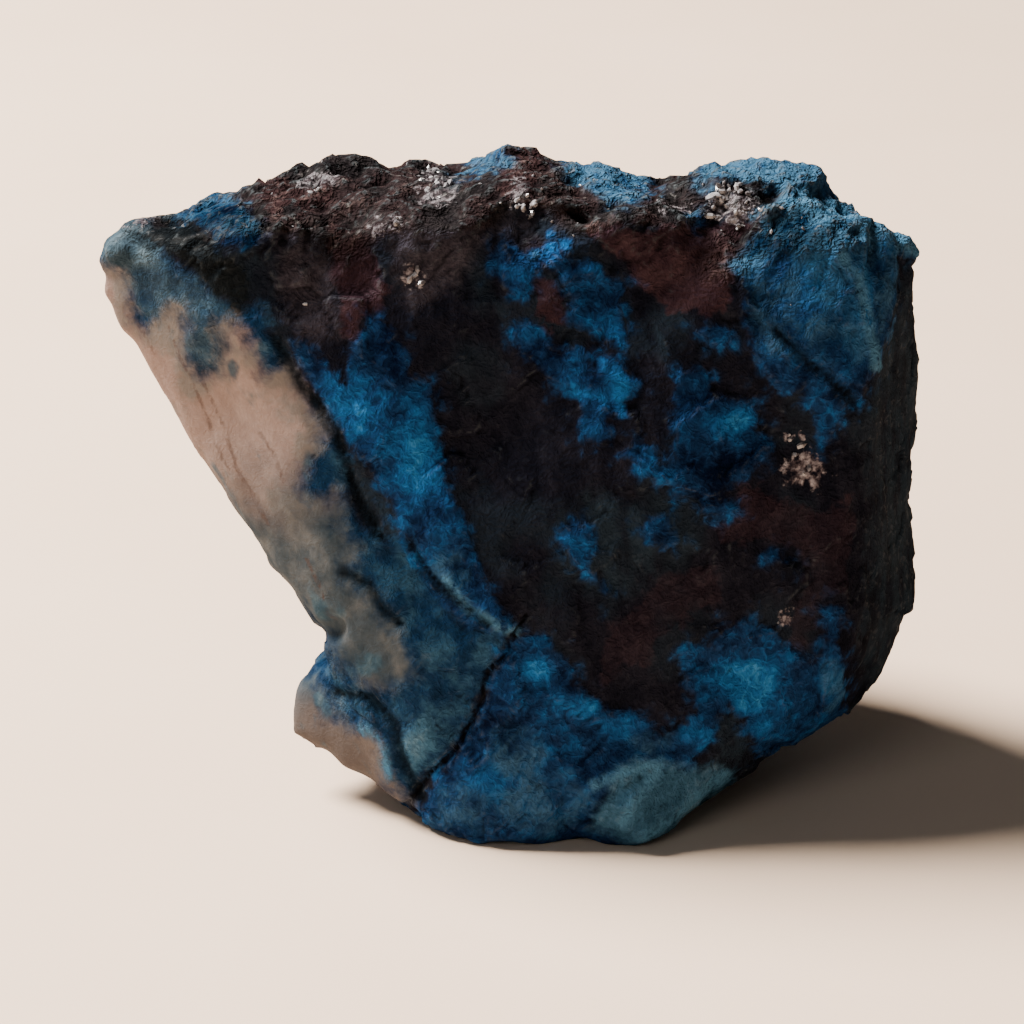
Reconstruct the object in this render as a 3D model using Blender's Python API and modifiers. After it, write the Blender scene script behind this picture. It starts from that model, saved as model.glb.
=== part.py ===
"""Rough shattuckite: one broken lump of copper ore with a quartz vein down its left side.

Run with: blender --background --python part.py
Units are metres, +Z is up, and the broad broken face looks along -Y. The origin is on the resting
plane, under the middle of the stone's box. The stone grew and broke as one piece, so it is one solid.
"""

import math

import bmesh
import bpy
from mathutils import Vector, noise

MM = 0.001

# Driving dimensions: the stone's box.
STONE_WIDTH = 52.4 * MM
STONE_DEPTH = 33.0 * MM
STONE_HEIGHT = 40.9 * MM

# Fineness of the solid: the side of one cell of its rebuilt surface, and how often that is evened out.
CELL = 1.38 * MM
EASING_PASSES = 1

# How rough the breaks are, as the height of the relief on each kind of surface.
CREST_RELIEF = 1.30 * MM
BACK_RELIEF = 1.45 * MM
FACE_RELIEF = 0.42 * MM

# Spacing of what the relief is made of: broad swells, flat chips large and small, and pits.
SWELL_SPACING = 14.0 * MM
BIG_CHIP_SPACING = 11.0 * MM
SMALL_CHIP_SPACING = 4.2 * MM
PIT_SPACING = 3.4 * MM
PIT_RADIUS = 0.42

# How much of a chip the slope down to its neighbour takes up.
CHIP_SLOPE = 0.22

# The seed of the chips' tilts: each whole number above zero is a different break of the same stone.
CHIP_SEED = 2

# The stone broke away from its parent rock along flat faces. Each lobe is the hull of the corners where
# those faces meet. Corners are in millimetres: x from the middle, y back from the foot, z up from the
# resting plane. Corners below the plane are cut off by it.
BROAD_FACE = [
    (-20.8, 10.4, 37.6), (-14.0, 9.4, 38.8), (-6.4, 10.6, 40.0), (2.0, 9.6, 39.0), (9.6, 9.9, 39.6),
    (15.6, 9.0, 38.2), (20.0, 9.2, 37.8),
    (24.0, 10.2, 33.0), (22.4, 7.4, 26.6), (22.6, 6.0, 19.0), (22.4, 5.4, 13.4), (21.4, 6.0, 7.6),
    (11.4, 4.2, 3.4), (7.4, 0.8, 0.2), (-2.4, 0.8, -1.0), (-5.4, 2.6, 0.9), (-0.4, 2.4, 14.2),
    (-6.3, 4.7, 21.2), (-11.2, 6.2, 26.4), (-15.2, 7.7, 32.0),
]
CREST = [
    (-24.8, 16.0, 37.4), (-19.4, 17.0, 37.8), (-12.9, 18.0, 41.0), (-7.0, 18.5, 41.1), (0.3, 18.5, 41.2),
    (8.6, 18.0, 40.2), (16.9, 17.5, 41.0), (19.6, 16.5, 40.8),
]
LEFT_EDGE = [
    (-26.6, 14.6, 36.2), (-26.5, 15.2, 32.5), (-20.0, 15.0, 25.3), (-15.4, 13.6, 18.8),
    (-13.8, 12.8, 15.6), (-10.6, 10.5, 10.4), (-8.0, 7.5, 5.2),
]
RIGHT_EDGE = [
    (27.6, 15.6, 31.4), (27.1, 14.0, 22.0), (27.5, 13.6, 12.6), (26.6, 13.2, 9.0), (24.6, 11.6, 6.0),
    (19.0, 8.6, 5.6),
]
BACK = [
    (-22.0, 20.5, 34.0), (-18.6, 24.5, 27.0), (-12.4, 27.5, 15.0), (-8.6, 28.0, -1.0), (1.5, 33.0, -1.0),
    (10.0, 32.0, 5.0), (17.5, 27.5, 6.0), (24.4, 23.0, 14.0), (24.0, 22.0, 28.0), (7.0, 29.0, 27.0),
    (-4.0, 31.0, 17.0), (11.0, 23.5, 37.6), (-8.0, 23.0, 38.2),
]
UNDERSIDE = [
    (-4.0, 5.0, -1.0), (-7.0, 13.0, -1.0), (7.4, 0.8, -1.0), (8.6, 5.0, -1.0), (12.6, 15.0, -1.0),
]
SHOULDER = [
    (17.0, 9.0, 37.5), (21.0, 9.2, 37.8), (27.2, 14.6, 36.2), (26.2, 12.6, 33.2), (22.5, 8.8, 30.6),
    (19.5, 17.0, 38.4), (26.6, 18.0, 33.0), (18.0, 18.0, 32.0),
]
FOOT = [
    (-7.0, 4.2, 0.8), (-14.2, 8.8, 4.0), (-15.4, 10.6, 6.0), (-14.4, 10.4, 8.6), (-10.8, 8.2, 10.4),
    (-6.0, 3.2, 8.0), (-4.0, 3.0, 1.0), (-9.0, 14.0, 1.6), (-8.0, 14.0, 9.0),
]
LOBES = [BROAD_FACE + CREST + LEFT_EDGE + RIGHT_EDGE + BACK + UNDERSIDE, SHOULDER, FOOT]

# Lumps and hollows that no flat break explains: where, how wide, and which way the surface is pushed.
PUSHES = {
    "corner of the left rim": ((-25.4, 15.4, 37.2), 2.9, (-0.6, 0.0, 1.4)),
    "fall of the left rim": ((-20.4, 17.0, 37.7), 3.8, (0.0, 0.0, -0.6)),
    "hump on the crest, left": ((-12.0, 18.0, 41.0), 3.2, (-0.2, 0.0, 0.7)),
    "dip in the crest, left": ((-3.7, 18.0, 41.0), 2.6, (0.0, 0.0, -2.0)),
    "knob on the crest": ((0.2, 17.0, 41.2), 3.4, (0.0, 0.0, 0.2)),
    "nick in the crest": ((3.9, 18.0, 41.0), 2.3, (0.0, 0.0, -1.2)),
    "dip in the crest, middle": ((8.8, 17.0, 40.4), 3.8, (0.0, 0.0, -1.5)),
    "crest over the shoulder": ((17.6, 16.0, 41.0), 4.0, (0.0, 0.0, 0.25)),
    "brow over the step": ((20.0, 16.4, 40.4), 2.6, (0.9, 0.0, 1.0)),
    "step down to the shoulder": ((21.9, 16.0, 39.6), 1.9, (-0.3, -0.3, -0.7)),
    "blue knob at the corner": ((23.2, 14.3, 37.2), 2.9, (0.1, -0.4, 1.5)),
    "tip of the corner": ((26.3, 14.2, 35.8), 2.2, (0.5, 0.0, 0.5)),
    "lump on the rim, left": ((-16.6, 10.0, 39.2), 3.4, (0.0, -0.5, 0.5)),
    "notch in the rim, left": ((-11.0, 9.8, 39.6), 3.6, (0.2, 1.6, -0.9)),
    "lump on the rim, middle": ((-4.4, 10.2, 39.6), 3.4, (0.2, -0.8, -0.3)),
    "notch in the rim, middle": ((1.6, 9.8, 39.0), 3.4, (-0.2, 1.7, -0.8)),
    "lump on the rim, right": ((8.0, 9.8, 39.2), 3.2, (0.0, -0.6, 0.4)),
    "notch in the rim, right": ((13.6, 9.4, 38.6), 3.4, (0.1, 1.5, -0.9)),
    "hollow under the crest": ((8.0, 9.4, 35.0), 5.0, (0.0, 1.1, 0.0)),
    "hollow under the left rim": ((-13.0, 9.0, 35.5), 4.6, (0.2, 0.9, 0.0)),
    "belly of the broad face": ((9.0, 4.4, 22.0), 12.0, (0.0, -0.9, 0.0)),
    "trough beside the blue face": ((-1.6, 5.4, 27.0), 6.0, (0.2, 1.0, 0.0)),
    "swell on the shoulder": ((19.0, 8.0, 31.0), 5.5, (0.3, -1.0, 0.2)),
    "scoop above the toe": ((15.0, 4.6, 11.0), 5.0, (0.0, 0.9, 0.0)),
    "toe": ((7.6, 1.2, 3.0), 4.0, (0.3, -0.6, 0.0)),
    "undercut behind the toe": ((13.0, 3.6, 2.6), 4.6, (-0.2, 0.5, 0.9)),
    "bay above the foot": ((-13.4, 11.0, 11.9), 4.1, (4.7, 0.4, -0.2)),
    "top of the foot lobe": ((-13.2, 10.8, 9.4), 1.9, (-0.6, 0.0, 0.3)),
    "side of the foot lobe": ((-14.0, 9.4, 4.0), 2.8, (-0.6, 0.0, -0.2)),
    "heel of the foot lobe": ((-6.6, 3.6, 1.0), 2.6, (-0.4, -0.6, 0.0)),
    "front of the foot": ((4.6, 1.2, 0.8), 3.0, (0.0, 1.6, 0.2)),
    "lower corner of the left rim": ((-25.8, 15.0, 31.6), 2.8, (-0.8, 0.0, -0.7)),
    "chip in the vein's edge": ((-15.2, 12.8, 14.4), 2.3, (-1.2, 0.0, 0.0)),
    "nick in the vein's edge": ((-16.2, 13.2, 16.9), 2.3, (1.0, 0.2, 0.0)),
    "saddle in the vein": ((-16.4, 9.8, 27.0), 6.0, (0.7, 0.5, 0.0)),
    "hollow low on the back": ((-12.0, 29.0, 10.0), 8.0, (0.8, -1.6, 0.0)),
    "ledge across the back": ((13.0, 28.5, 17.0), 7.0, (0.4, 1.5, 0.4)),
}

# Open cracks, as the points they pass through on the broad face, with their half width and depth.
CRACKS = {
    "crack to the foot": ([(0.4, 1.8, 14.6), (-2.4, 1.8, 9.4), (-6.8, 2.4, 1.4)], 2.2, 0.8),
    "seam beside the blue face": ([(-14.4, 7.4, 31.4), (-9.2, 5.4, 22.6), (-3.0, 3.4, 15.0)], 2.2, 0.6),
}


def clear_scene():
    for obj in list(bpy.data.objects):
        bpy.data.objects.remove(obj, do_unlink=True)


def smooth_step(low, high, value):
    share = min(1.0, max(0.0, (value - low) / (high - low)))
    return share * share * (3.0 - 2.0 * share)


def add_hull(together, corners):
    """Adds the closed hull of the corners, in metres, to the mesh being gathered."""
    lobe = bmesh.new()
    for corner in corners:
        lobe.verts.new(Vector(corner) * MM)
    made = bmesh.ops.convex_hull(lobe, input=lobe.verts)
    inside = [v for v in made["geom_interior"] if isinstance(v, bmesh.types.BMVert)]
    bmesh.ops.delete(lobe, geom=inside, context="VERTS")
    bmesh.ops.recalc_face_normals(lobe, faces=lobe.faces)
    mesh = bpy.data.meshes.new("lobe")
    lobe.to_mesh(mesh)
    lobe.free()
    together.from_mesh(mesh)
    bpy.data.meshes.remove(mesh)


def rough_block(name):
    """The lobes grown together: a voxel remesh turns them into one skin of even cells."""
    together = bmesh.new()
    for corners in LOBES:
        add_hull(together, corners)
    block = bpy.data.meshes.new(name)
    together.to_mesh(block)
    together.free()
    obj = bpy.data.objects.new(name, block)
    bpy.context.scene.collection.objects.link(obj)
    remesh = obj.modifiers.new("One skin", "REMESH")
    remesh.mode = "VOXEL"
    remesh.voxel_size = CELL
    graph = bpy.context.evaluated_depsgraph_get()
    skin = bpy.data.meshes.new_from_object(obj.evaluated_get(graph))
    obj.modifiers.clear()
    obj.data = skin
    bpy.data.meshes.remove(block)
    skin.name = name
    return obj


def push_surface(mesh):
    """Moves the surface by every named lump and hollow, each fading out at its own radius."""
    for centre, radius, push in PUSHES.values():
        middle = Vector(centre) * MM
        reach = radius * MM
        step = Vector(push) * MM
        for vertex in mesh.vertices:
            share = (vertex.co - middle).length / reach
            if share < 1.0:
                vertex.co += step * (1.0 - share * share) ** 2


def distance_to_path(point, path):
    """The shortest distance from a point to a line of straight runs."""
    nearest = math.inf
    for start, end in zip(path, path[1:]):
        run = end - start
        along = min(1.0, max(0.0, (point - start).dot(run) / run.length_squared))
        nearest = min(nearest, (point - start - run * along).length)
    return nearest


def open_cracks(mesh):
    """Sinks a narrow groove into the broad face along each crack."""
    mesh.update()
    for points, half_width, depth in CRACKS.values():
        path = [Vector(point) * MM for point in points]
        inward = [vertex.normal * -depth * MM for vertex in mesh.vertices]
        for vertex, step in zip(mesh.vertices, inward):
            share = distance_to_path(vertex.co, path) / (half_width * MM)
            if share < 1.0:
                vertex.co += step * (1.0 - share) ** 1.5


def ease_steps(mesh):
    """Takes the small stair steps of the even cells out of the slanted faces."""
    skin = bmesh.new()
    skin.from_mesh(mesh)
    for _ in range(EASING_PASSES):
        bmesh.ops.smooth_vert(
            skin, verts=skin.verts, factor=0.5, use_axis_x=True, use_axis_y=True, use_axis_z=True
        )
    skin.to_mesh(mesh)
    skin.free()


def chip_height(place, spacing):
    """A break made of flat chips: each cell of a Voronoi pattern is one plane with a tilt of its own.

    Two neighbouring planes meet halfway, in a short slope, so a ledge between them stays clean.
    """
    scaled = place / spacing
    distances, middles = noise.voronoi(scaled)
    heights = []
    for middle in middles[:2]:
        tilt = noise.noise_vector(middle * 1.7)
        heights.append((scaled - middle).dot(tilt) + 0.5 * tilt.x)
    own = 0.5 + 0.5 * smooth_step(0.0, CHIP_SLOPE, distances[1] - distances[0])
    return heights[0] * own + heights[1] * (1.0 - own)


def relief_height(place):
    """How far the break stands out at a place: from about -1 in the pits to 1 on the ledges."""
    swell = noise.noise(place / SWELL_SPACING)
    chips = chip_height(place, BIG_CHIP_SPACING) + 0.3 * chip_height(place, SMALL_CHIP_SPACING)
    pit = max(0.0, PIT_RADIUS - noise.voronoi(place / PIT_SPACING)[0][0])
    return 0.4 * swell + 1.6 * chips - 0.6 * pit


def add_relief(mesh):
    """Roughens the breaks: most on the crest and the back, least on the flat broad face."""
    noise.seed_set(CHIP_SEED)
    mesh.update()
    steps = []
    for vertex in mesh.vertices:
        crest = smooth_step(36.5 * MM, 39.5 * MM, vertex.co.z)
        back = smooth_step(15.0 * MM, 23.0 * MM, vertex.co.y)
        height = FACE_RELIEF + (CREST_RELIEF - FACE_RELIEF) * crest
        height += (BACK_RELIEF - height) * back * (1.0 - crest)
        steps.append(vertex.normal * height * relief_height(vertex.co))
    for vertex, step in zip(mesh.vertices, steps):
        vertex.co += step


def fit_to_box(mesh):
    """Scales the stone to its driving dimensions and centres it over the origin, above the plane."""
    def span(axis):
        values = [vertex.co[axis] for vertex in mesh.vertices]
        return min(values), max(values)

    for axis, size in ((0, STONE_WIDTH), (1, STONE_DEPTH)):
        low, high = span(axis)
        for vertex in mesh.vertices:
            vertex.co[axis] = (vertex.co[axis] - (low + high) / 2.0) * size / (high - low)
    top = span(2)[1]
    for vertex in mesh.vertices:
        vertex.co.z *= STONE_HEIGHT / top


def cut_resting_face(mesh):
    """Cuts the stone off flat on the resting plane, where it broke clean."""
    cut = bmesh.new()
    cut.from_mesh(mesh)
    geometry = cut.verts[:] + cut.edges[:] + cut.faces[:]
    bmesh.ops.bisect_plane(
        cut, geom=geometry, plane_co=(0.0, 0.0, 0.0), plane_no=(0.0, 0.0, 1.0), clear_inner=True
    )
    rim = [edge for edge in cut.edges if edge.is_boundary]
    bmesh.ops.edgeloop_fill(cut, edges=rim)
    bmesh.ops.dissolve_degenerate(cut, edges=cut.edges, dist=0.02 * MM)
    bmesh.ops.recalc_face_normals(cut, faces=cut.faces)
    cut.to_mesh(mesh)
    cut.free()


def stone_material():
    """A dull blue-black mineral finish."""
    material = bpy.data.materials.new("shattuckite ore")
    material.use_nodes = True
    surface = material.node_tree.nodes["Principled BSDF"]
    surface.inputs["Base Color"].default_value = (0.020, 0.085, 0.160, 1.0)
    surface.inputs["Roughness"].default_value = 0.55
    surface.inputs["Metallic"].default_value = 0.0
    return material


def main():
    clear_scene()
    stone = rough_block("shattuckite_stone")
    push_surface(stone.data)
    open_cracks(stone.data)
    ease_steps(stone.data)
    add_relief(stone.data)
    fit_to_box(stone.data)
    cut_resting_face(stone.data)
    stone.data.shade_smooth()
    stone.data.materials.append(stone_material())
    minerals = bpy.data.collections.new("rough shattuckite")
    bpy.context.scene.collection.children.link(minerals)
    bpy.context.scene.collection.objects.unlink(stone)
    minerals.objects.link(stone)
    bpy.context.view_layer.update()


main()
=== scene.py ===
# %% [markdown]
# # Rough shattuckite
#
# Shattuckite is a blue copper mineral. It grows as a crust of tiny fibres in the cracks of a
# copper ore, beside quartz, so one broken lump shows four or five minerals at once. Nothing on it
# is regular, and almost everything that the eye reads as "stone" is a colour border or a break
# smaller than a millimetre. This lesson dresses a plain solid of the lump in three layers, from
# coarse to fine:
#
# 1. a map that says which mineral lies where, kept as numbers on the points of the mesh;
# 2. real relief in the mesh, different on each mineral, made by a Geometry Nodes tree;
# 3. a material that reads the same map, and adds the grain that is too fine for the mesh.
#
# At the end small quartz crystals are grown in its gaps, as a mesh of their own.

# %% Load the solid
import math

import bmesh
import bpy
import numpy as np
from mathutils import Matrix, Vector, noise


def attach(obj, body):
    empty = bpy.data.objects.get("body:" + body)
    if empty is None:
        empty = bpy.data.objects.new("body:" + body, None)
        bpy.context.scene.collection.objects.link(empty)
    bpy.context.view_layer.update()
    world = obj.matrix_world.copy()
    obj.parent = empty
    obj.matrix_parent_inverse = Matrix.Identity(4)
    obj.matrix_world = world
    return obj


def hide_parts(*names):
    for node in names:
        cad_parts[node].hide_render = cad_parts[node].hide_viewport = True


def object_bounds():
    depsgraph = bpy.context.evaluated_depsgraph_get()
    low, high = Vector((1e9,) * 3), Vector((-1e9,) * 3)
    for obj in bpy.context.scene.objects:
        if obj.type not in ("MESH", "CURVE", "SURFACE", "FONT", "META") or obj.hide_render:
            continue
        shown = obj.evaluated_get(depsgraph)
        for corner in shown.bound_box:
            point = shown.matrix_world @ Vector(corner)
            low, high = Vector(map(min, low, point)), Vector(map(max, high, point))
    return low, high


MM = 0.001

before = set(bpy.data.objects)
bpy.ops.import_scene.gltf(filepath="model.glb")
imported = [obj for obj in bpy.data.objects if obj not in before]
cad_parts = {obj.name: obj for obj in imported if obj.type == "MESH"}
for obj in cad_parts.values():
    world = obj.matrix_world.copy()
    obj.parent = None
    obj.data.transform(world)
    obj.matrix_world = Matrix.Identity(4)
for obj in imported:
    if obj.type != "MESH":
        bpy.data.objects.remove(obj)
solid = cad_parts["shattuckite_stone"]
solid_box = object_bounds()
low, high = (Vector(corner) for corner in solid_box)
print("the solid's box in mm:", [round(size / MM, 1) for size in high - low])

# %% [markdown]
# ## The camera
#
# The broad broken face looks along -Y, and it is seen from 22 degrees above. A long lens from a
# quarter of a metre away gives a small stone its natural, slightly flattened look: a short lens up
# close would swell the foot and shrink the crest.

# %% Camera
EYE_TILT = math.radians(22.0)
EYE_DISTANCE = 260.0 * MM
VIEW_WIDTH = 66.7 * MM
SENSOR = 36.0
AIM = Vector((0.0, -2.3 * MM, 17.5 * MM))

to_eye = Vector((0.0, -math.cos(EYE_TILT), math.sin(EYE_TILT)))
eye = AIM + to_eye * EYE_DISTANCE

lens = bpy.data.cameras.new("camera")
lens.sensor_width = SENSOR
lens.lens = SENSOR * EYE_DISTANCE / VIEW_WIDTH
lens.clip_start = 1.0 * MM
camera = bpy.data.objects.new("camera", lens)
camera.location = eye
camera.rotation_euler = (math.radians(90.0) - EYE_TILT, 0.0, 0.0)
bpy.context.scene.collection.objects.link(camera)
bpy.context.scene.camera = camera
print("lens of", round(lens.lens), "mm")

# %% [markdown]
# ## Writing nodes as sums
#
# A node tree drawn by hand is a page of boxes. Here each socket is wrapped in a small class whose
# + - * / add the Math nodes, so a formula reads as a formula. The same class serves the materials
# and the Geometry Nodes trees, because both kinds of tree share their maths and texture nodes.


# %% Wires and nets
class Wire:
    """The value that leaves one node. Arithmetic on it adds Math nodes to the same tree."""

    def __init__(self, net, node, output=0):
        self.net = net
        self.node = node
        self.socket = node.outputs[output]

    def out(self, output):
        return Wire(self.net, self.node, output)

    def math(self, operation, *values):
        return self.net.add("ShaderNodeMath", {"operation": operation}, dict(enumerate(values)))

    def __add__(self, other):
        return self.math("ADD", self, other)

    def __radd__(self, other):
        return self.math("ADD", other, self)

    def __sub__(self, other):
        return self.math("SUBTRACT", self, other)

    def __rsub__(self, other):
        return self.math("SUBTRACT", other, self)

    def __mul__(self, other):
        return self.math("MULTIPLY", self, other)

    def __rmul__(self, other):
        return self.math("MULTIPLY", other, self)

    def __truediv__(self, other):
        return self.math("DIVIDE", self, other)

    def __rtruediv__(self, other):
        return self.math("DIVIDE", other, self)

    def __abs__(self):
        return self.math("ABSOLUTE", self)

    def at_least(self, other):
        return self.math("MAXIMUM", self, other)


class Net:
    """A node tree that is written in code."""

    def __init__(self, tree):
        self.tree = tree

    def add(self, kind, settings=None, sockets=None, output=0):
        """Adds a node: its settings first, then the value or the wire of each socket."""
        node = self.tree.nodes.new(kind)
        for name, value in (settings or {}).items():
            if name == "stops":
                self.set_stops(node.color_ramp, value)
            else:
                setattr(node, name, value)
        for name, value in (sockets or {}).items():
            if isinstance(value, Wire):
                self.tree.links.new(value.socket, node.inputs[name])
            else:
                node.inputs[name].default_value = value
        return Wire(self, node, output) if node.outputs else None

    def set_stops(self, ramp, stops):
        while len(ramp.elements) < len(stops):
            ramp.elements.new(1.0)
        for element, (place, colour) in zip(ramp.elements, stops):
            element.position = place
            element.color = (*colour, 1.0)

    def vector(self, operation, *values, output=0):
        settings = {"operation": operation}
        return self.add("ShaderNodeVectorMath", settings, dict(enumerate(values)), output)

    def scaled(self, vector, factor):
        """A vector or a colour, times a number."""
        sockets = {0: vector, "Scale": factor}
        return self.add("ShaderNodeVectorMath", {"operation": "SCALE"}, sockets)

    def dot(self, first, second):
        return self.vector("DOT_PRODUCT", first, second, output="Value")

    def step(self, value, start, end):
        """0 below start, 1 above end, and a smooth slope between them."""
        sockets = {"Value": value, "From Min": start, "From Max": end}
        return self.add("ShaderNodeMapRange", {"interpolation_type": "SMOOTHSTEP"}, sockets)

    def mixed(self, share, first, second):
        """Two numbers mixed: the first where the share is 0, the second where it is 1."""
        return self.add("ShaderNodeMix", {"data_type": "FLOAT"}, {0: share, 2: first, 3: second})

    def colours(self, share, first, second):
        """Two colours mixed, each given as red, green and blue or as a wire."""
        first, second = ((*c, 1.0) if isinstance(c, tuple) else c for c in (first, second))
        sockets = {0: share, 6: first, 7: second}
        return self.add("ShaderNodeMix", {"data_type": "RGBA"}, sockets, output=2)

    def cloud(self, place, size, detail=3.0, rough=0.55, output="Fac"):
        """Noise of the given size in millimetres, for a place in millimetres."""
        sockets = {"Vector": place, "Scale": 1.0 / size, "Detail": detail, "Roughness": rough}
        return self.add("ShaderNodeTexNoise", {"noise_dimensions": "3D"}, sockets, output)

    def cells(self, place, size, feature="F1", output="Distance"):
        """A Voronoi pattern with cells of the given size in millimetres."""
        sockets = {"Vector": place, "Scale": 1.0 / size}
        return self.add("ShaderNodeTexVoronoi", {"feature": feature}, sockets, output)

    def drawn_out(self, place, direction, times):
        """Places squeezed along a direction, so that a pattern read from them is longer there."""
        along = self.dot(place, direction)
        return self.vector("SUBTRACT", place, self.scaled(direction, along * (1.0 - 1.0 / times)))


print("a Wire can", ", ".join(sorted(name for name in vars(Wire) if not name.startswith("_"))))

# %% [markdown]
# ## A finer skin
#
# The solid is made of facets over a millimetre across. A copy of it is merged into one closed skin,
# its triangles are joined into four-sided faces, and Subdivision Surface cuts each of those into
# sixteen. That rounds the facets and leaves points a third of a millimetre apart, close enough to
# carry breaks and grain. A voxel remesh could do the same, but its points would lie on a grid, and
# not along the solid's edges.

# %% Copy, merge and subdivide
SKIN_LEVELS = 2
SAME_POINT = 0.001 * MM

skin = bpy.data.meshes.new("stone_skin")
work = bmesh.new()
work.from_mesh(solid.data)
work.transform(solid.matrix_world)
bmesh.ops.remove_doubles(work, verts=work.verts, dist=SAME_POINT)
bmesh.ops.join_triangles(
    work, faces=work.faces, angle_face_threshold=math.pi, angle_shape_threshold=math.pi
)
open_edges = sum(not edge.is_manifold for edge in work.edges)
work.to_mesh(skin)
work.free()
stone = bpy.data.objects.new("stone_surface", skin)
bpy.context.scene.collection.objects.link(stone)


def made_plain(obj):
    """Turns the object's modifiers into a plain mesh."""
    graph = bpy.context.evaluated_depsgraph_get()
    mesh = bpy.data.meshes.new_from_object(obj.evaluated_get(graph))
    obj.modifiers.clear()
    old, obj.data = obj.data, mesh
    bpy.data.meshes.remove(old)
    return mesh


finer = stone.modifiers.new("Finer", "SUBSURF")
finer.levels = finer.render_levels = SKIN_LEVELS
skin = made_plain(stone)
print("open edges:", open_edges, " points on the finer skin:", len(skin.vertices))

# %% [markdown]
# ## A map of the minerals
#
# On the front each mineral has borders that are worth drawing: the quartz vein down the left
# side, the long blue wedge beside it, the blue shoulder at the upper right. They could be painted
# on the mesh by hand, but paint has to be done again whenever the mesh changes. So they are drawn
# as outlines on a board that faces the eye, in millimetres across from the middle and up from the
# foot. A point's place on the board is where the line from the eye through it meets the board.

# %% The board
FOOT_FRONT = -16.8 * MM
AIM_ON_BOARD = (AIM.z * math.cos(EYE_TILT) + (AIM.y - FOOT_FRONT) * math.sin(EYE_TILT)) / MM


def board_places(points):
    """Where points lie on the board, in millimetres across and up."""
    right = np.array((1.0, 0.0, 0.0))
    up = np.array((0.0, math.sin(EYE_TILT), math.cos(EYE_TILT)))
    ahead = -np.array(to_eye)
    from_eye = points - np.array(eye)
    depth = from_eye @ ahead
    across = from_eye @ right / depth * EYE_DISTANCE / MM
    above = from_eye @ up / depth * EYE_DISTANCE / MM
    return across, above + AIM_ON_BOARD


print("the eye looks at", round(AIM_ON_BOARD, 1), "mm up on the board")

# %% [markdown]
# Each outline is a list of (across, up) in millimetres, in order round the patch. An outline may
# run past the edge of the stone, and patches may overlap, because the material lays them over one
# another: only the border that stays on top has to be drawn with care.

# %% Outlines of the quartz and the teal beside it
QUARTZ = {
    "vein": [
        (-28, 37.9), (-26.6, 37.8), (-25.6, 37.4), (-25.0, 36.2), (-24.8, 34.2), (-23.8, 33.5),
        (-22.9, 34.2), (-22.2, 35.2), (-21.5, 35.1), (-21.1, 34.0), (-21.1, 32.0), (-20.6, 30.6),
        (-19.2, 30.8), (-18.9, 32.4), (-19.2, 33.8), (-18.2, 33.9), (-17.4, 33.6), (-16.7, 32.0),
        (-15.9, 30.7), (-14.7, 31.2), (-13.6, 29.7), (-12.9, 28.3), (-11.8, 26.8), (-12.6, 26.2),
        (-13.2, 24.8), (-13.7, 23.2), (-13.2, 22.4), (-12.2, 22.8), (-11.6, 23.1), (-10.9, 22.4),
        (-10.9, 21.2), (-10.5, 20.2), (-10.0, 19.4), (-10.2, 18.4), (-10.9, 17.7), (-10.0, 16.8),
        (-8.9, 16.0), (-8.2, 15.1), (-7.7, 13.9), (-7.0, 12.9), (-6.6, 12.2), (-6.2, 11.2),
        (-7.0, 10.7), (-8.2, 10.1), (-9.6, 10.3), (-10.4, 11.0), (-11.2, 11.6), (-11.7, 12.6),
        (-12.6, 13.3), (-14.0, 15.5), (-18.5, 18.5), (-25.0, 29.0), (-29.0, 34.0),
    ],
    "foot": [
        (-14.4, 11.2), (-12.9, 11.2), (-12.2, 10.0), (-11.5, 8.6), (-10.5, 7.9), (-9.2, 7.5),
        (-8.4, 6.9), (-8.3, 5.6), (-8.0, 4.2), (-7.0, 3.0), (-6.8, 1.6), (-9.0, 0.0),
        (-15.0, 2.0), (-17.0, 7.0),
    ],
}
TEAL = {
    "left facet": [
        (-29.0, 37.0), (-28.0, 42.5), (-23.9, 42.5), (-23.4, 40.6), (-22.9, 39.4), (-22.0, 38.0),
        (-20.4, 37.0), (-19.2, 35.7), (-17.8, 35.0), (-16.6, 35.6), (-15.4, 33.2), (-14.4, 31.2),
        (-12.8, 28.6), (-11.5, 26.8), (-10.7, 25.0), (-10.6, 22.4), (-8.6, 19.9), (-7.0, 20.2),
        (-5.6, 18.4), (-3.8, 15.6), (-2.4, 14.6), (-0.2, 14.4), (-0.6, 13.0), (-1.8, 10.0),
        (-2.8, 7.8), (-4.6, 5.4), (-6.6, 3.2), (-7.6, 0.0), (-17.0, 0.0), (-17.0, 15.0),
        (-27.0, 27.0),
    ],
}
print("patches of quartz:", len(QUARTZ), " of teal:", len(TEAL))

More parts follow.
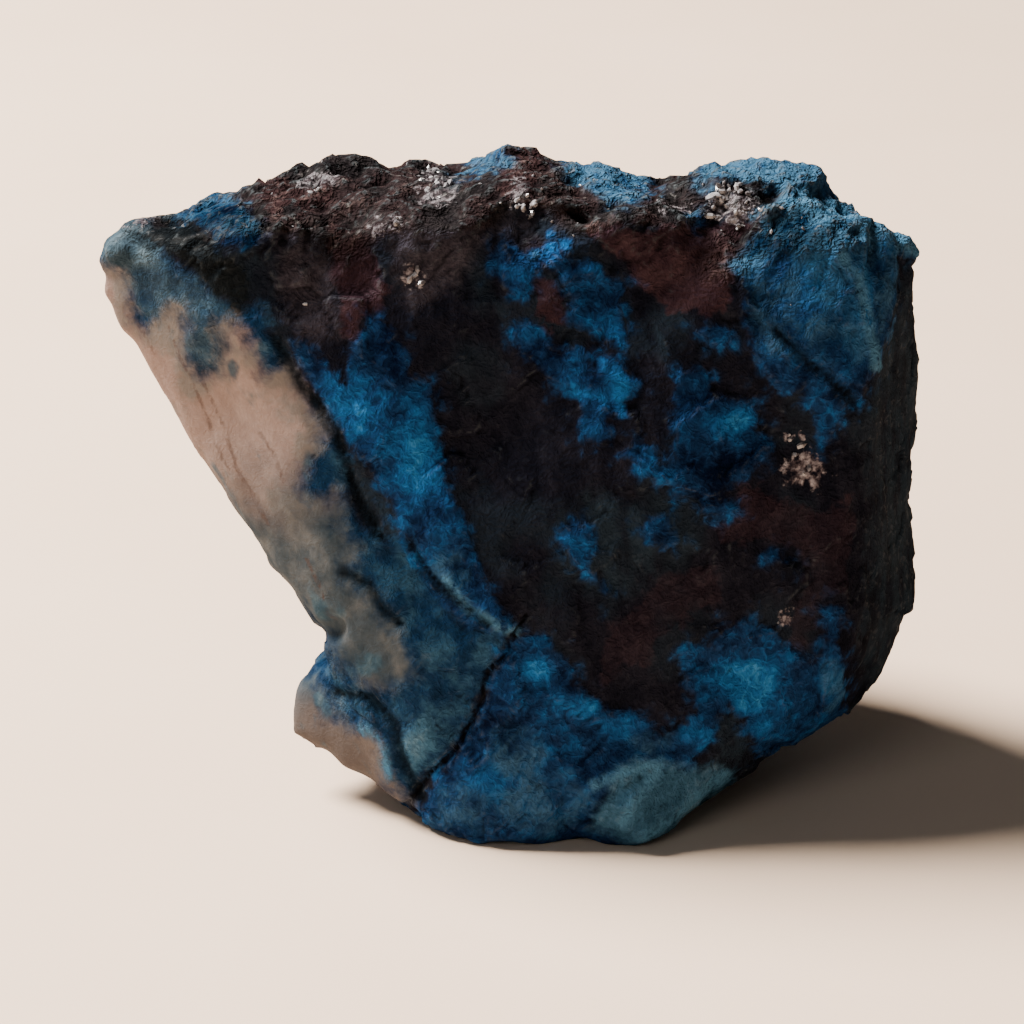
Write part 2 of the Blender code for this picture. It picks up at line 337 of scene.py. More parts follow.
# %% Outlines of the blue
BLUE = {
    "patch on the left rim": [
        (-21.8, 41.1), (-20.2, 42.2), (-19.0, 42.9), (-18.0, 42.2), (-17.2, 41.5), (-16.8, 40.6),
        (-17.0, 39.2), (-17.6, 38.7), (-18.6, 39.3), (-20.0, 40.2), (-21.0, 40.8),
    ],
    "wedge": [
        (-14.8, 33.1), (-13.8, 33.0), (-12.6, 32.0), (-11.8, 30.7), (-11.2, 30.2), (-10.9, 31.4),
        (-10.5, 32.6), (-9.7, 33.2), (-9.5, 34.5), (-8.6, 34.6), (-7.6, 34.0), (-7.2, 33.0),
        (-6.4, 31.0), (-5.7, 29.8), (-5.0, 29.8), (-4.7, 27.0), (-4.6, 25.0), (-4.0, 23.4),
        (-3.5, 22.2), (-3.0, 21.0), (-2.5, 19.4), (-1.6, 17.2), (-0.4, 15.2), (-0.1, 14.3),
        (-1.4, 13.7), (-2.9, 14.0), (-4.2, 15.2), (-5.6, 17.2), (-6.9, 19.0), (-7.4, 21.0),
        (-8.2, 22.6), (-9.7, 24.7), (-11.0, 26.6), (-12.0, 28.0), (-13.1, 30.0), (-14.0, 31.4),
    ],
    "upper middle": [
        (-1.8, 38.6), (-0.6, 39.6), (0.6, 38.4), (1.9, 38.7), (2.6, 39.6), (3.3, 39.2),
        (4.0, 38.2), (5.0, 38.1), (5.6, 37.4), (6.4, 37.2), (7.2, 37.5), (7.6, 36.4),
        (7.4, 35.0), (7.7, 33.5), (7.0, 32.5), (6.0, 32.6), (5.0, 33.0), (4.3, 33.2),
        (3.7, 33.8), (3.5, 34.6), (4.0, 35.2), (3.2, 36.2), (3.0, 37.2), (2.2, 37.5),
        (1.2, 37.0), (1.3, 35.8), (0.4, 35.3), (-0.8, 36.2), (-1.6, 37.0),
    ],
    "below it": [
        (-0.2, 33.6), (1.2, 34.2), (2.0, 33.0), (3.0, 32.5), (4.6, 32.6), (5.2, 32.1),
        (5.4, 31.0), (6.0, 31.6), (6.8, 31.7), (7.6, 31.0), (8.4, 30.2), (8.2, 29.3),
        (7.4, 28.8), (7.1, 28.0), (6.5, 27.5), (6.8, 26.8), (6.2, 25.9), (5.4, 26.0),
        (4.6, 26.6), (4.1, 27.6), (4.4, 28.4), (3.8, 28.8), (3.0, 29.4), (2.0, 30.5),
        (1.2, 31.4), (0.4, 32.3),
    ],
    "middle right": [
        (10.8, 30.8), (12.0, 31.1), (12.9, 30.4), (13.1, 29.3), (14.0, 29.3), (15.0, 29.3),
        (15.8, 28.6), (16.0, 27.4), (16.7, 26.6), (16.8, 25.6), (16.2, 24.7), (15.3, 24.0),
        (14.3, 23.8), (14.0, 22.8), (14.9, 21.7), (13.6, 21.2), (12.5, 21.4), (11.6, 22.4),
        (10.5, 22.6), (10.2, 23.5), (9.2, 23.5), (8.4, 24.0), (7.8, 25.0), (6.7, 25.3),
        (7.4, 25.9), (8.2, 26.4), (8.9, 26.0), (9.6, 25.1), (10.2, 25.4), (10.5, 26.6),
        (10.4, 28.0), (10.5, 29.7),
    ],
    "shoulder": [
        (14.4, 37.6), (14.6, 38.4), (15.4, 39.1), (16.2, 40.3), (17.0, 40.9), (17.8, 42.0),
        (19.0, 43.0), (22.0, 44.0), (28.0, 42.0), (28.0, 38.5), (25.2, 38.2), (25.0, 36.0),
        (24.8, 33.6), (24.0, 32.0), (23.6, 31.0), (23.1, 29.8), (22.7, 29.0), (21.6, 28.5),
        (21.2, 27.4), (20.9, 26.3), (20.2, 26.0), (19.5, 26.8), (19.6, 28.0), (18.7, 29.0),
        (17.6, 29.4), (16.6, 30.4), (15.8, 31.5), (15.1, 32.6), (15.0, 33.8), (14.8, 34.8),
        (15.0, 36.2),
    ],
    "fleck under the red stain": [
        (11.9, 33.4), (12.6, 34.0), (14.0, 33.9), (14.8, 33.2), (14.2, 32.4), (12.8, 32.5),
    ],
    "eye in the middle": [
        (2.9, 19.8), (3.6, 20.9), (4.6, 21.2), (5.3, 20.2), (5.5, 19.0), (5.2, 18.3),
        (6.0, 17.2), (6.7, 16.0), (6.0, 15.9), (5.2, 17.2), (4.6, 18.0), (3.8, 18.4),
    ],
    "eye beside it": [
        (8.5, 20.6), (9.0, 21.5), (10.0, 21.6), (10.8, 20.8), (11.0, 19.7), (10.2, 19.2),
        (9.0, 19.5),
    ],
    "fleck at the right": [
        (16.1, 18.7), (16.8, 19.3), (17.7, 19.0), (18.6, 18.0), (17.8, 17.9), (16.8, 18.2),
    ],
    "foot": [
        (-0.7, 12.6), (0.5, 13.4), (1.6, 13.6), (2.8, 13.1), (3.6, 12.2), (4.4, 10.8),
        (4.8, 9.6), (5.6, 9.2), (6.6, 8.8), (8.0, 8.8), (9.0, 8.3), (9.2, 7.4),
        (10.4, 7.4), (11.2, 8.0), (11.8, 8.7), (12.0, 9.5), (11.1, 10.2), (10.9, 11.4),
        (11.1, 12.7), (12.4, 12.8), (13.4, 14.1), (14.4, 14.6), (16.0, 14.6), (17.2, 13.8),
        (18.3, 12.4), (19.4, 12.2), (20.0, 12.8), (20.2, 14.0), (20.0, 15.3), (20.8, 16.0),
        (21.6, 15.0), (21.4, 13.4), (21.6, 11.4), (21.7, 9.6), (22.4, 7.6), (18.0, 4.0),
        (16.3, 5.4), (15.7, 6.3), (15.0, 7.2), (14.7, 8.2), (14.1, 8.7), (13.6, 8.3),
        (13.4, 7.2), (12.6, 6.4), (11.8, 5.6), (12.4, 4.2), (12.0, 1.0), (8.0, -2.0),
        (-5.0, -2.0), (-6.4, 1.6), (-5.2, 4.0), (-3.6, 6.2), (-2.4, 8.4), (-1.4, 11.0),
    ],
    "crest, left": [
        (-3.6, 43.6), (-2.6, 45.0), (-1.0, 46.4), (0.0, 45.2), (-0.4, 44.2), (-2.0, 43.8),
    ],
    "crest, middle": [
        (2.4, 46.0), (4.0, 45.4), (6.8, 45.2), (8.2, 44.4), (9.3, 43.4), (8.6, 42.4),
        (7.4, 41.8), (6.4, 42.0), (5.0, 42.4), (4.0, 43.4), (3.0, 44.6),
    ],
    "crest, right": [
        (11.3, 44.4), (12.6, 46.0), (20.5, 46.0), (21.6, 43.0), (21.2, 41.8), (18.2, 41.4),
        (17.0, 42.6), (15.0, 43.3), (13.6, 43.1), (12.2, 43.4),
    ],
    "crest, fleck": [(11.6, 41.2), (12.0, 42.1), (12.6, 41.9), (12.8, 40.8), (12.1, 40.3)],
}
print("patches of blue:", len(BLUE))

# %% Outlines of the pale crust and the red stains
PALE = {
    "facet at the foot": [
        (6.8, 5.0), (8.0, 5.5), (9.6, 5.3), (11.0, 5.1), (12.6, 4.9), (14.6, 4.8),
        (14.0, 2.0), (9.0, -1.6), (6.6, 0.6), (5.0, 1.1), (5.6, 2.4), (6.3, 3.5),
    ],
    "left of the seam": [
        (-6.9, 8.0), (-6.0, 8.4), (-5.0, 7.8), (-4.8, 6.6), (-5.6, 5.2), (-6.4, 4.4), (-7.0, 5.2),
        (-7.1, 6.8),
    ],
}
RED = {
    "stain on the left rim": [
        (-16.8, 43.4), (-12.2, 43.2), (-11.6, 41.8), (-14.0, 41.4), (-16.2, 41.2),
    ],
    "left stain": [
        (-12.0, 40.4), (-9.8, 40.0), (-8.6, 38.2), (-8.0, 36.0), (-8.6, 34.6), (-9.6, 34.2),
        (-9.9, 32.6), (-11.0, 33.0), (-11.2, 35.2), (-11.8, 37.2),
    ],
    "upper stain": [
        (4.8, 40.4), (6.0, 40.8), (7.4, 40.6), (8.6, 40.0), (10.0, 40.8), (12.0, 40.3),
        (14.0, 40.7), (15.9, 40.7), (15.1, 39.2), (14.5, 38.0), (14.7, 36.4), (13.9, 34.6),
        (12.8, 34.2), (11.4, 34.8), (10.0, 34.9), (9.0, 35.8), (7.8, 37.1), (6.8, 38.2),
        (5.6, 38.8),
    ],
    "small stain": [(1.4, 36.8), (2.6, 36.9), (3.4, 35.6), (3.7, 33.9), (2.6, 33.3), (1.5, 34.4)],
    "right stain": [
        (14.8, 23.4), (16.4, 23.5), (17.6, 22.6), (20.6, 22.0), (22.2, 22.5), (22.3, 19.0),
        (22.0, 16.0), (21.0, 16.4), (20.0, 15.8), (19.8, 14.0), (19.0, 12.6), (17.8, 13.0),
        (18.4, 15.0), (19.0, 17.0), (18.8, 19.2), (16.0, 19.7), (14.0, 19.4), (13.3, 20.6),
        (14.6, 21.6),
    ],
    "low stain": [
        (10.2, 18.1), (13.0, 18.0), (13.7, 16.0), (12.0, 15.0), (10.0, 13.6), (9.2, 12.0),
        (7.6, 11.6), (6.0, 10.5), (5.5, 12.0), (6.0, 13.8), (7.4, 15.4), (9.0, 16.2),
    ],
    "crest": [
        (-1.3, 43.0), (-0.6, 44.8), (1.0, 46.0), (2.0, 45.2), (1.8, 42.8), (0.8, 41.8),
        (-0.6, 42.0),
    ],
}
print("patches of pale crust:", len(PALE), " of red stain:", len(RED))

# %% Outlines of the dark patches
CAP = {
    "dark cap": [
        (-24.8, 39.6), (-22.2, 41.4), (-21.0, 41.0), (-19.4, 39.4), (-17.9, 38.2), (-17.2, 36.4),
        (-16.6, 35.0), (-17.8, 34.6), (-19.4, 35.9), (-21.4, 37.6), (-22.6, 38.6),
    ],
}
MAUVE = {
    "left of the stain": [
        (-15.6, 41.4), (-12.4, 41.2), (-11.8, 38.6), (-11.2, 35.6), (-10.8, 33.2), (-12.0, 32.8),
        (-14.0, 33.0), (-14.8, 35.0), (-15.2, 38.0),
    ],
    "under the crest": [
        (-8.6, 41.4), (-6.0, 42.2), (-3.0, 42.0), (0.2, 41.8), (1.6, 40.8), (1.2, 39.6),
        (-0.6, 39.8), (-1.9, 38.8), (-2.8, 37.6), (-4.0, 36.4), (-5.4, 35.2), (-6.8, 35.4),
        (-7.6, 37.4), (-8.2, 39.4),
    ],
}
SLATE = {
    "notch over the foot": [
        (13.0, 8.6), (14.6, 8.8), (15.8, 6.8), (15.6, 5.0), (13.4, 5.0), (12.6, 6.4),
    ],
    "right side": [
        (23.6, 37.0), (28.0, 37.0), (28.0, 14.0), (24.0, 9.0), (22.6, 12.0), (23.4, 22.0),
    ],
    "beside the cap": [
        (-18.6, 38.6), (-16.8, 39.2), (-15.6, 37.4), (-15.2, 35.0), (-14.4, 33.4), (-14.2, 31.6),
        (-15.4, 31.6), (-16.8, 34.2), (-18.0, 36.0),
    ],
    "beside the wedge": [
        (-10.6, 26.2), (-9.2, 24.4), (-7.6, 22.2), (-6.6, 20.6), (-8.2, 20.0), (-9.6, 21.4),
        (-10.4, 23.4),
    ],
    "left of the middle": [
        (-3.4, 38.6), (-1.8, 39.4), (-1.2, 36.8), (-0.6, 34.6), (-2.2, 34.8), (-3.2, 36.4),
    ],
    "under the upper stain": [(8.6, 35.0), (10.4, 35.2), (12.0, 33.6), (10.6, 31.6), (8.8, 32.4)],
    "round the eyes": [
        (2.0, 22.0), (5.0, 23.0), (8.0, 22.5), (11.5, 22.6), (12.0, 19.0), (9.0, 17.5),
        (6.5, 15.0), (3.5, 17.5),
    ],
}
print("dark patches:", len(CAP) + len(MAUVE) + len(SLATE))

# %% Lines
# The dark seam, which the minerals parted along.
SEAMS = {
    "to the foot": [
        (0.9, 14.9), (0.1, 13.6), (-0.5, 12.2), (-1.7, 11.2), (-1.9, 9.4), (-3.2, 7.2),
        (-3.6, 6.2), (-5.4, 4.6), (-7.0, 2.4),
    ],
}
# Softer dark lines: the edges of the bands beside the quartz.
CREASES = {
    "beside the vein": [
        (-15.4, 32.8), (-14.6, 31.4), (-13.7, 29.7), (-12.4, 28.5), (-11.2, 26.2), (-10.6, 24.0),
        (-10.0, 22.6), (-8.6, 20.1),
    ],
    "inside the vein": [(-10.9, 17.7), (-9.4, 16.9), (-8.3, 15.2), (-7.4, 14.4)],
    "under the wedge": [(-6.6, 19.6), (-5.4, 17.6), (-3.6, 16.0), (-1.6, 14.4)],
    "above the foot lobe": [(-11.5, 9.9), (-9.4, 9.5), (-7.7, 7.8), (-7.0, 5.2), (-6.0, 3.1)],
    "under the shoulder": [(17.2, 33.4), (18.8, 31.8), (20.8, 30.2), (22.4, 28.6)],
}
# Hairlines in the quartz.
VEIN_CRACKS = {
    "long": [
        (-22.4, 33.8), (-21.7, 31.9), (-20.7, 29.8), (-19.8, 27.6), (-19.3, 26.0), (-18.2, 23.8),
    ],
    "beside it": [
        (-20.4, 30.6), (-19.3, 28.4), (-18.6, 26.8), (-18.0, 24.6), (-16.8, 22.6), (-15.9, 20.8),
    ],
    "high": [(-24.9, 36.0), (-24.3, 33.8), (-23.2, 31.9)],
    "short": [(-16.4, 26.8), (-15.4, 25.2), (-14.9, 23.6)],
    "low": [(-13.4, 18.6), (-12.4, 16.6), (-11.9, 14.6)],
}
# Lips: the relief raises them a little, and the material paints a highlight along them.
LIPS_AND_HIGHLIGHTS = {
    "edge of the shoulder": [(21.4, 38.2), (22.4, 37.0), (22.7, 35.0), (23.1, 33.2), (23.6, 31.2)],
    "edge of the wedge": [(-4.2, 17.4), (-2.8, 15.4), (-0.8, 14.3), (0.2, 13.9)],
    "crest of the shoulder": [(15.6, 41.0), (17.6, 41.8), (19.6, 41.6), (20.4, 40.6)],
    "lip of the corner": [(20.6, 41.4), (23.0, 40.8), (25.0, 39.8), (26.4, 38.6)],
    "top of the pale facet": [(5.4, 3.9), (7.4, 4.8), (9.6, 5.4)],
    "lip of the pale facet": [(8.6, 0.6), (11.2, 2.6), (13.8, 4.6)],
    "across the pale facet": [(9.4, 4.9), (8.0, 3.0), (7.2, 1.6)],
    "below the quartz": [(-9.6, 7.6), (-8.4, 6.2), (-8.0, 4.4)],
}
print("lines:", len(SEAMS) + len(CREASES) + len(VEIN_CRACKS) + len(LIPS_AND_HIGHLIGHTS))

# %% [markdown]
# Inside a patch the colour isn't even. Soft spots turn it lighter, darker or duller, and small ones
# hold crumbs of quartz. A spot is its middle, then its half width and half height.

# %% Spots in the blue
BRIGHT = {
    "wedge, low": ((-6.4, 25.8), (2.8, 3.2)),
    "wedge, high": ((-10.4, 28.6), (2.4, 2.6)),
    "upper middle": ((6.0, 34.0), (1.8, 1.2)),
    "upper middle, left": ((2.8, 38.6), (1.0, 1.0)),
    "below it": ((7.0, 29.6), (1.1, 1.9)),
    "below it, left": ((4.0, 29.2), (1.2, 0.9)),
    "middle right": ((14.2, 27.4), (1.9, 1.2)),
    "middle right, low": ((9.6, 24.2), (1.6, 1.0)),
    # Painted highlight: this spot lights up the lip along the shoulder's edge.
    "shoulder edge": ((22.9, 35.6), (0.7, 3.6)),
    "shoulder top": ((18.6, 42.0), (3.0, 1.0)),
    "corner": ((24.6, 40.0), (2.6, 1.4)),
    "foot, right": ((15.4, 10.4), (2.6, 2.1)),
    "foot, right, low": ((15.6, 8.0), (1.1, 1.4)),
    "foot, far right": ((20.7, 10.6), (0.9, 1.6)),
    "foot, left": ((1.9, 11.0), (1.2, 1.3)),
    "foot, middle": ((4.6, 9.0), (1.2, 0.9)),
    "foot, step": ((7.2, 8.0), (2.0, 0.8)),
    "foot, right of the step": ((12.0, 7.4), (1.6, 1.0)),
    "crest, left": ((-1.6, 44.6), (1.8, 1.2)),
    "crest, middle": ((5.6, 44.0), (2.6, 1.3)),
    "crest, right": ((16.6, 43.8), (4.6, 1.6)),
    "shoulder, right": ((20.4, 37.2), (2.2, 3.4)),
    "wedge, middle": ((-5.8, 24.6), (1.6, 2.4)),
    # Painted highlight on the low edge of the shoulder.
    "shoulder, low edge": ((22.0, 34.0), (1.0, 2.6)),
    "foot, front, right": ((12.0, 7.8), (1.8, 0.9)),
    "foot, front, left": ((-1.4, 4.2), (1.6, 1.3)),
}
# The fresh cores of the blue, lighter still.
GLOWING = {
    "foot, right": ((15.6, 10.6), (2.4, 2.0)),
    "foot, left": ((1.7, 11.6), (0.9, 1.2)),
    "below it": ((7.2, 29.8), (0.8, 1.6)),
    "wedge": ((-6.0, 24.8), (1.3, 1.8)),
    "middle right": ((14.4, 27.6), (1.3, 0.8)),
    "eye": ((3.9, 18.9), (0.8, 0.9)),
    # Painted highlight along the edge of the shoulder.
    "shoulder edge": ((22.8, 35.4), (0.5, 3.2)),
    "corner": ((25.2, 39.4), (1.6, 0.7)),
}
DARK = {
    "left rim": ((-19.0, 40.8), (1.8, 1.4)),
    "shoulder, left": ((16.0, 35.0), (1.2, 2.0)),
    "upper middle": ((5.9, 35.2), (1.2, 0.9)),
    "below it": ((1.6, 32.0), (1.8, 1.2)),
    "middle right": ((12.8, 24.0), (2.6, 2.0)),
    "wedge": ((-8.4, 31.8), (1.2, 2.0)),
    "wedge, low": ((-3.0, 18.0), (1.0, 1.4)),
    "foot": ((6.4, 2.4), (1.6, 1.4)),
    "foot, left": ((-0.6, 7.8), (1.3, 1.7)),
}
# Where the blue shows the sides of its fibres: duller, and softly streaked.
FIBROUS = {
    "front of the foot, left": ((-3.0, 2.4), (2.8, 2.4)),
    "front of the foot": ((2.0, 2.6), (4.4, 2.6)),
    "above it": ((0.2, 6.0), (2.4, 2.6)),
    "right of it": ((9.4, 6.8), (2.0, 1.2)),
    "low edge": ((20.8, 10.4), (1.0, 2.2)),
    "wedge, low": ((-4.0, 17.6), (1.6, 2.2)),
}
print("spots in the blue:", sum(map(len, (BRIGHT, GLOWING, DARK, FIBROUS))))

# %% Spots elsewhere
# Where quartz grew through the teal and greyed it, and by what share.
VEILED = {
    "corner on the left": ((-24.8, 39.6), (2.6, 2.0), 1.0),
    "below the corner": ((-24.4, 37.4), (2.2, 1.4), 0.5),
    "above the wisps": ((-21.8, 35.6), (3.0, 1.8), 0.5),
    "among the wisps": ((-19.8, 32.4), (1.6, 1.8), 0.6),
}
# Painted shade: at these spots, in the shade of the crest, the colour is made darker.
SHADE_UNDER_CREST = {
    "left rim": ((-18.6, 40.2), (2.6, 1.6)),
    "beside the left stain": ((-11.0, 39.0), (2.4, 1.5)),
    "under the crest of the shoulder": ((18.0, 39.4), (3.6, 1.4)),
}
# Where the outline swells out past the solid, or falls short of it, by so many millimetres.
SWELLS = {
    "corner on the left": ((-26.4, 38.6), (1.3, 1.2), 0.75),
    "top of the foot lobe": ((-13.5, 12.2), (0.9, 0.8), 0.7),
    "bay above the foot": ((-11.8, 14.0), (0.9, 0.9), -0.6),
    "crest, left": ((-11.2, 44.8), (2.0, 0.9), 0.5),
    "edge above the toe": ((16.9, 5.8), (1.8, 0.9), -0.4),
}
# Crumbs of pale, pinkish quartz in the breaks.
CHALK = {
    "corner on the left": ((-24.8, 40.9), (1.7, 0.7)),
    "crest, right": ((14.4, 41.5), (2.4, 1.1)),
    "crest, right, left end": ((10.8, 42.0), (1.4, 0.7)),
    "crest, left": ((-5.0, 43.0), (1.5, 1.3)),
    "rim": ((-12.4, 43.3), (1.8, 0.6)),
    "above the matrix": ((-8.2, 40.4), (1.3, 0.9)),
    "in the matrix": ((-6.4, 37.0), (0.8, 1.0)),
    "crest, middle": ((0.6, 42.6), (1.0, 1.2)),
    "gap at the right": ((19.1, 24.3), (1.8, 1.5)),
    "above the gap": ((18.4, 26.6), (0.9, 0.6)),
    "beside the foot": ((17.9, 14.8), (0.5, 0.7)),
}
# Teal that grew into the quartz.
WISPS = {
    "near the top": ((-24.0, 35.6), (0.9, 1.7)),
    "between": ((-22.0, 36.0), (1.2, 0.9)),
    "upper": ((-20.7, 33.4), (0.8, 2.6)),
    "middle": ((-18.2, 30.9), (0.5, 0.9)),
    "right": ((-16.0, 31.9), (0.6, 1.6)),
    "at the border": ((-13.2, 24.0), (0.9, 1.9)),
    "low": ((-11.8, 15.4), (1.2, 1.0)),
    "lower": ((-9.6, 11.8), (1.6, 0.9)),
    "at the foot": ((-12.6, 8.8), (0.9, 1.5)),
}
print("spots elsewhere:", sum(map(len, (VEILED, SHADE_UNDER_CREST, SWELLS, CHALK, WISPS))))

# %% [markdown]
# Each patch is kept as a distance: how far a point lies inside the outline, in millimetres, and
# below zero outside it. A mask of ones and zeros would show the edges of the triangles. A distance
# is smooth, so it keeps its shape between the points of the mesh, and the material can fray the
# border later by adding noise before it asks whether the value is above zero.


# %% Distances to the outlines
DEEPEST = 4.0


def to_runs(across, above, corners, closed):
    """The distance from each place to a line of straight runs."""
    nearest = np.full(across.shape, np.inf)
    ends = corners[1:] + corners[:1] if closed else corners[1:]
    for (x0, y0), (x1, y1) in zip(corners, ends):
        run_x, run_y = x1 - x0, y1 - y0
        length = run_x * run_x + run_y * run_y
        along = np.clip(((across - x0) * run_x + (above - y0) * run_y) / length, 0.0, 1.0)
        apart = np.hypot(across - x0 - along * run_x, above - y0 - along * run_y)
        nearest = np.minimum(nearest, apart)
    return nearest


def inside(across, above, corners):
    """Whether each place is inside: a ray to the right then crosses the outline an odd number
    of times.
    """
    odd = np.zeros(across.shape, dtype=bool)
    for (x0, y0), (x1, y1) in zip(corners, corners[1:] + corners[:1]):
        if y0 != y1:
            crossing = x0 + (above - y0) * (x1 - x0) / (y1 - y0)
            odd ^= ((y0 > above) != (y1 > above)) & (across < crossing)
    return odd


def depth_inside(across, above, patches):
    """How deep each place lies in any of the patches, at most DEEPEST millimetres."""
    deepest = np.full(across.shape, -np.inf)
    for corners in patches.values():
        distance = to_runs(across, above, corners, closed=True)
        distance = np.where(inside(across, above, corners), distance, -distance)
        deepest = np.maximum(deepest, distance)
    return np.clip(deepest, -DEEPEST, DEEPEST)


def to_lines(across, above, lines):
    """The distance from each place to the nearest of the lines."""
    gaps = [to_runs(across, above, corners, closed=False) for corners in lines.values()]
    return np.minimum.reduce(gaps)


# %% Nearness to the spots
SPOT_FADES = (0.4, 1.4)


def smooth_step(start, end, value):
    share = np.clip((value - start) / (end - start), 0.0, 1.0)
    return share * share * (3.0 - 2.0 * share)


def near_spots(across, above, spots):
    """1 in the middle of any spot, falling to 0 a little beyond its half width and half height."""
    share = np.zeros(across.shape)
    for (x, y), (half_width, half_height) in spots.values():
        far = np.hypot((across - x) / half_width, (above - y) / half_height)
        share = np.maximum(share, 1.0 - smooth_step(*SPOT_FADES, far))
    return share


def heaped_spots(across, above, spots):
    """The sum of spots that each have a weight of their own."""
    return sum(near_spots(across, above, {"": spot[:2]}) * spot[2] for spot in spots.values())


# %% The map on the front
PATCHES = {
    "quartz": QUARTZ, "teal": TEAL, "blue": BLUE, "pale": PALE,
    "red": RED, "cap": CAP, "mauve": MAUVE, "slate": SLATE,
}
LINES = {"seam": SEAMS, "crease": CREASES, "ridge": LIPS_AND_HIGHLIGHTS, "crack": VEIN_CRACKS}
GLOW = 0.5
SHOULDER_STARTS = (12.5, 16.5)
SHOULDER_RISES = (28.0, 34.0)


def vectors_of(items, key):
    """A vector for each item of a mesh, as the rows of an array."""
    values = np.empty(len(items) * 3, dtype=np.float32)
    items.foreach_get(key, values)
    return values.reshape(-1, 3).astype(float)


places = vectors_of(skin.vertices, "co")
normals = vectors_of(skin.vertex_normals, "vector")
across, above = board_places(places)
front = {name: depth_inside(across, above, patches) for name, patches in PATCHES.items()}
lines = {name: to_lines(across, above, runs) for name, runs in LINES.items()}
tone = near_spots(across, above, BRIGHT) + near_spots(across, above, GLOWING) * GLOW
tone -= near_spots(across, above, DARK)
wisps = near_spots(across, above, WISPS)
chalk = near_spots(across, above, CHALK)
veil = np.clip(heaped_spots(across, above, VEILED), 0.0, 1.0)
# Painted shade under the crest.
damp = near_spots(across, above, SHADE_UNDER_CREST)
swell = heaped_spots(across, above, SWELLS)
# The whole shoulder is fibrous, and so are the spots.
fibres = smooth_step(*SHOULDER_STARTS, across) * smooth_step(*SHOULDER_RISES, above)
fibres = np.maximum(fibres, near_spots(across, above, FIBROUS))
print("drawn patches:", sum(len(patches) for patches in PATCHES.values()))

# %% [markdown]
# The board only covers what the eye sees. Round the sides and on the back the same minerals go on,
# and there they follow rules instead of a drawing: the quartz vein is a sheet along the left facet,
# with thin side veins parallel to it, and the blue and the red are clouds of noise.

# %% Minerals on the unseen sides
VEIN_NORMAL = np.array((-0.583, -0.748, -0.317))
VEIN_FACE = np.array((-13.8, -3.7, 15.6))
VEIN_THICKNESS = 4.2
VEIN_WAVE = 2.4
VEIN_TEAL = 3.0
# Each side vein: how deep it lies under the face of the large one, and half its width.
SIDE_VEINS = ((15.5, 0.55), (24.0, 0.8), (33.5, 0.4))
SIDE_TEAL = 0.7
# Each cloud of mineral: its size, octaves and offset, how steep its border is, and how far it
# spreads beyond the middle value of the noise.
CLOUDS = {
    "blue": (10.0, 4, 11.0, 9.0, 0.02),
    "mauve": (7.0, 3, 53.0, 8.0, -0.30),
    "slate": (9.0, 3, 41.0, 8.0, -0.22),
    "red": (8.0, 3, 23.0, 8.0, -0.16),
}


def clouds(size, octaves, offset):
    """Soft noise between about -1 and 1 at every point, with features of a size in millimetres."""
    shift = Vector((offset, 2.0 * offset, -offset))
    basis = {"noise_basis": "PERLIN_ORIGINAL"}
    values = (
        noise.fractal(Vector(place) / (size * MM) + shift, 1.0, 2.0, octaves, **basis)
        for place in places
    )
    return np.fromiter(values, float, len(places))


wave = clouds(9.0, 3, 4.0)
sheet = (VEIN_FACE - places / MM) @ VEIN_NORMAL + VEIN_WAVE * wave
back = {
    "quartz": VEIN_THICKNESS - np.abs(sheet),
    "teal": VEIN_THICKNESS + VEIN_TEAL - np.abs(sheet),
    "pale": np.full(across.shape, -DEEPEST),
    "cap": np.full(across.shape, -DEEPEST),
}
for name, (size, octaves, offset, steepness, spread) in CLOUDS.items():
    back[name] = steepness * (clouds(size, octaves, offset) + spread)
for depth, half_width in SIDE_VEINS:
    gap = half_width * (0.75 + wave) - np.abs(sheet - depth)
    back["quartz"] = np.maximum(back["quartz"], gap)
    back["teal"] = np.maximum(back["teal"], gap + SIDE_TEAL)
print("share of points in the veins:", round(float((back["quartz"] > 0).mean()), 2))

# %% Front and back in one map
# How far a face has to be turned from the eye before the board fades, and when it is broadside.
BOARD_FADES = (-0.42, -0.06)
BROADSIDE = (0.12, 0.45)
# A place is on the crest where it faces up, and where it is high.
CREST_FACES_UP = (0.42, 0.78)
CREST_HEIGHT = (30.0, 37.0)
FAR_FROM_LINES = 6.0
# On the unseen sides noise stands in for the drawn spots: where each begins, and where it is full.
WISPS_BEHIND = (0.1, 0.5)
CHALK_BEHIND = (0.34, 0.7)
FIBRES_BEHIND = (-0.1, 0.3)
TONE_BEHIND = 1.6


def write_field(mesh, name, values):
    """Keeps one number for every point of the mesh."""
    attribute = mesh.attributes.new(name, "FLOAT", "POINT")
    attribute.data.foreach_set("value", values.astype(np.float32))


facing = normals @ np.array(to_eye)
seen = smooth_step(*BOARD_FADES, facing)
unseen = 1 - seen
patchy = clouds(6.0, 3, 31.0)
fields = {
    name: front[name] * seen + np.clip(back[name], -DEEPEST, DEEPEST) * unseen for name in front
}
fields["tone"] = tone * seen + np.clip(TONE_BEHIND * patchy, -1.0, 1.0) * unseen
fields["wisp"] = wisps * seen + smooth_step(*WISPS_BEHIND, patchy) * unseen
fields["chalk"] = chalk * seen + smooth_step(*CHALK_BEHIND, clouds(6.0, 3, 67.0)) * unseen
fields["fibres"] = np.maximum(fibres * seen, smooth_step(*FIBRES_BEHIND, patchy) * unseen)
fields["veil"] = veil * seen
fields["damp"] = damp * seen
fields["swell"] = swell * seen
for name, gap in lines.items():
    fields[name] = np.minimum(gap + FAR_FROM_LINES * unseen, FAR_FROM_LINES)
up = places[:, 2] / MM
fields["crest"] = smooth_step(*CREST_FACES_UP, normals[:, 2]) * smooth_step(*CREST_HEIGHT, up)
fields["broadside"] = smooth_step(*BROADSIDE, facing)
fields["height"] = above * seen + up * unseen
for name, values in fields.items():
    write_field(skin, name, values)
print("share of points with blue:", round(float((fields["blue"] > 0).mean()), 2))

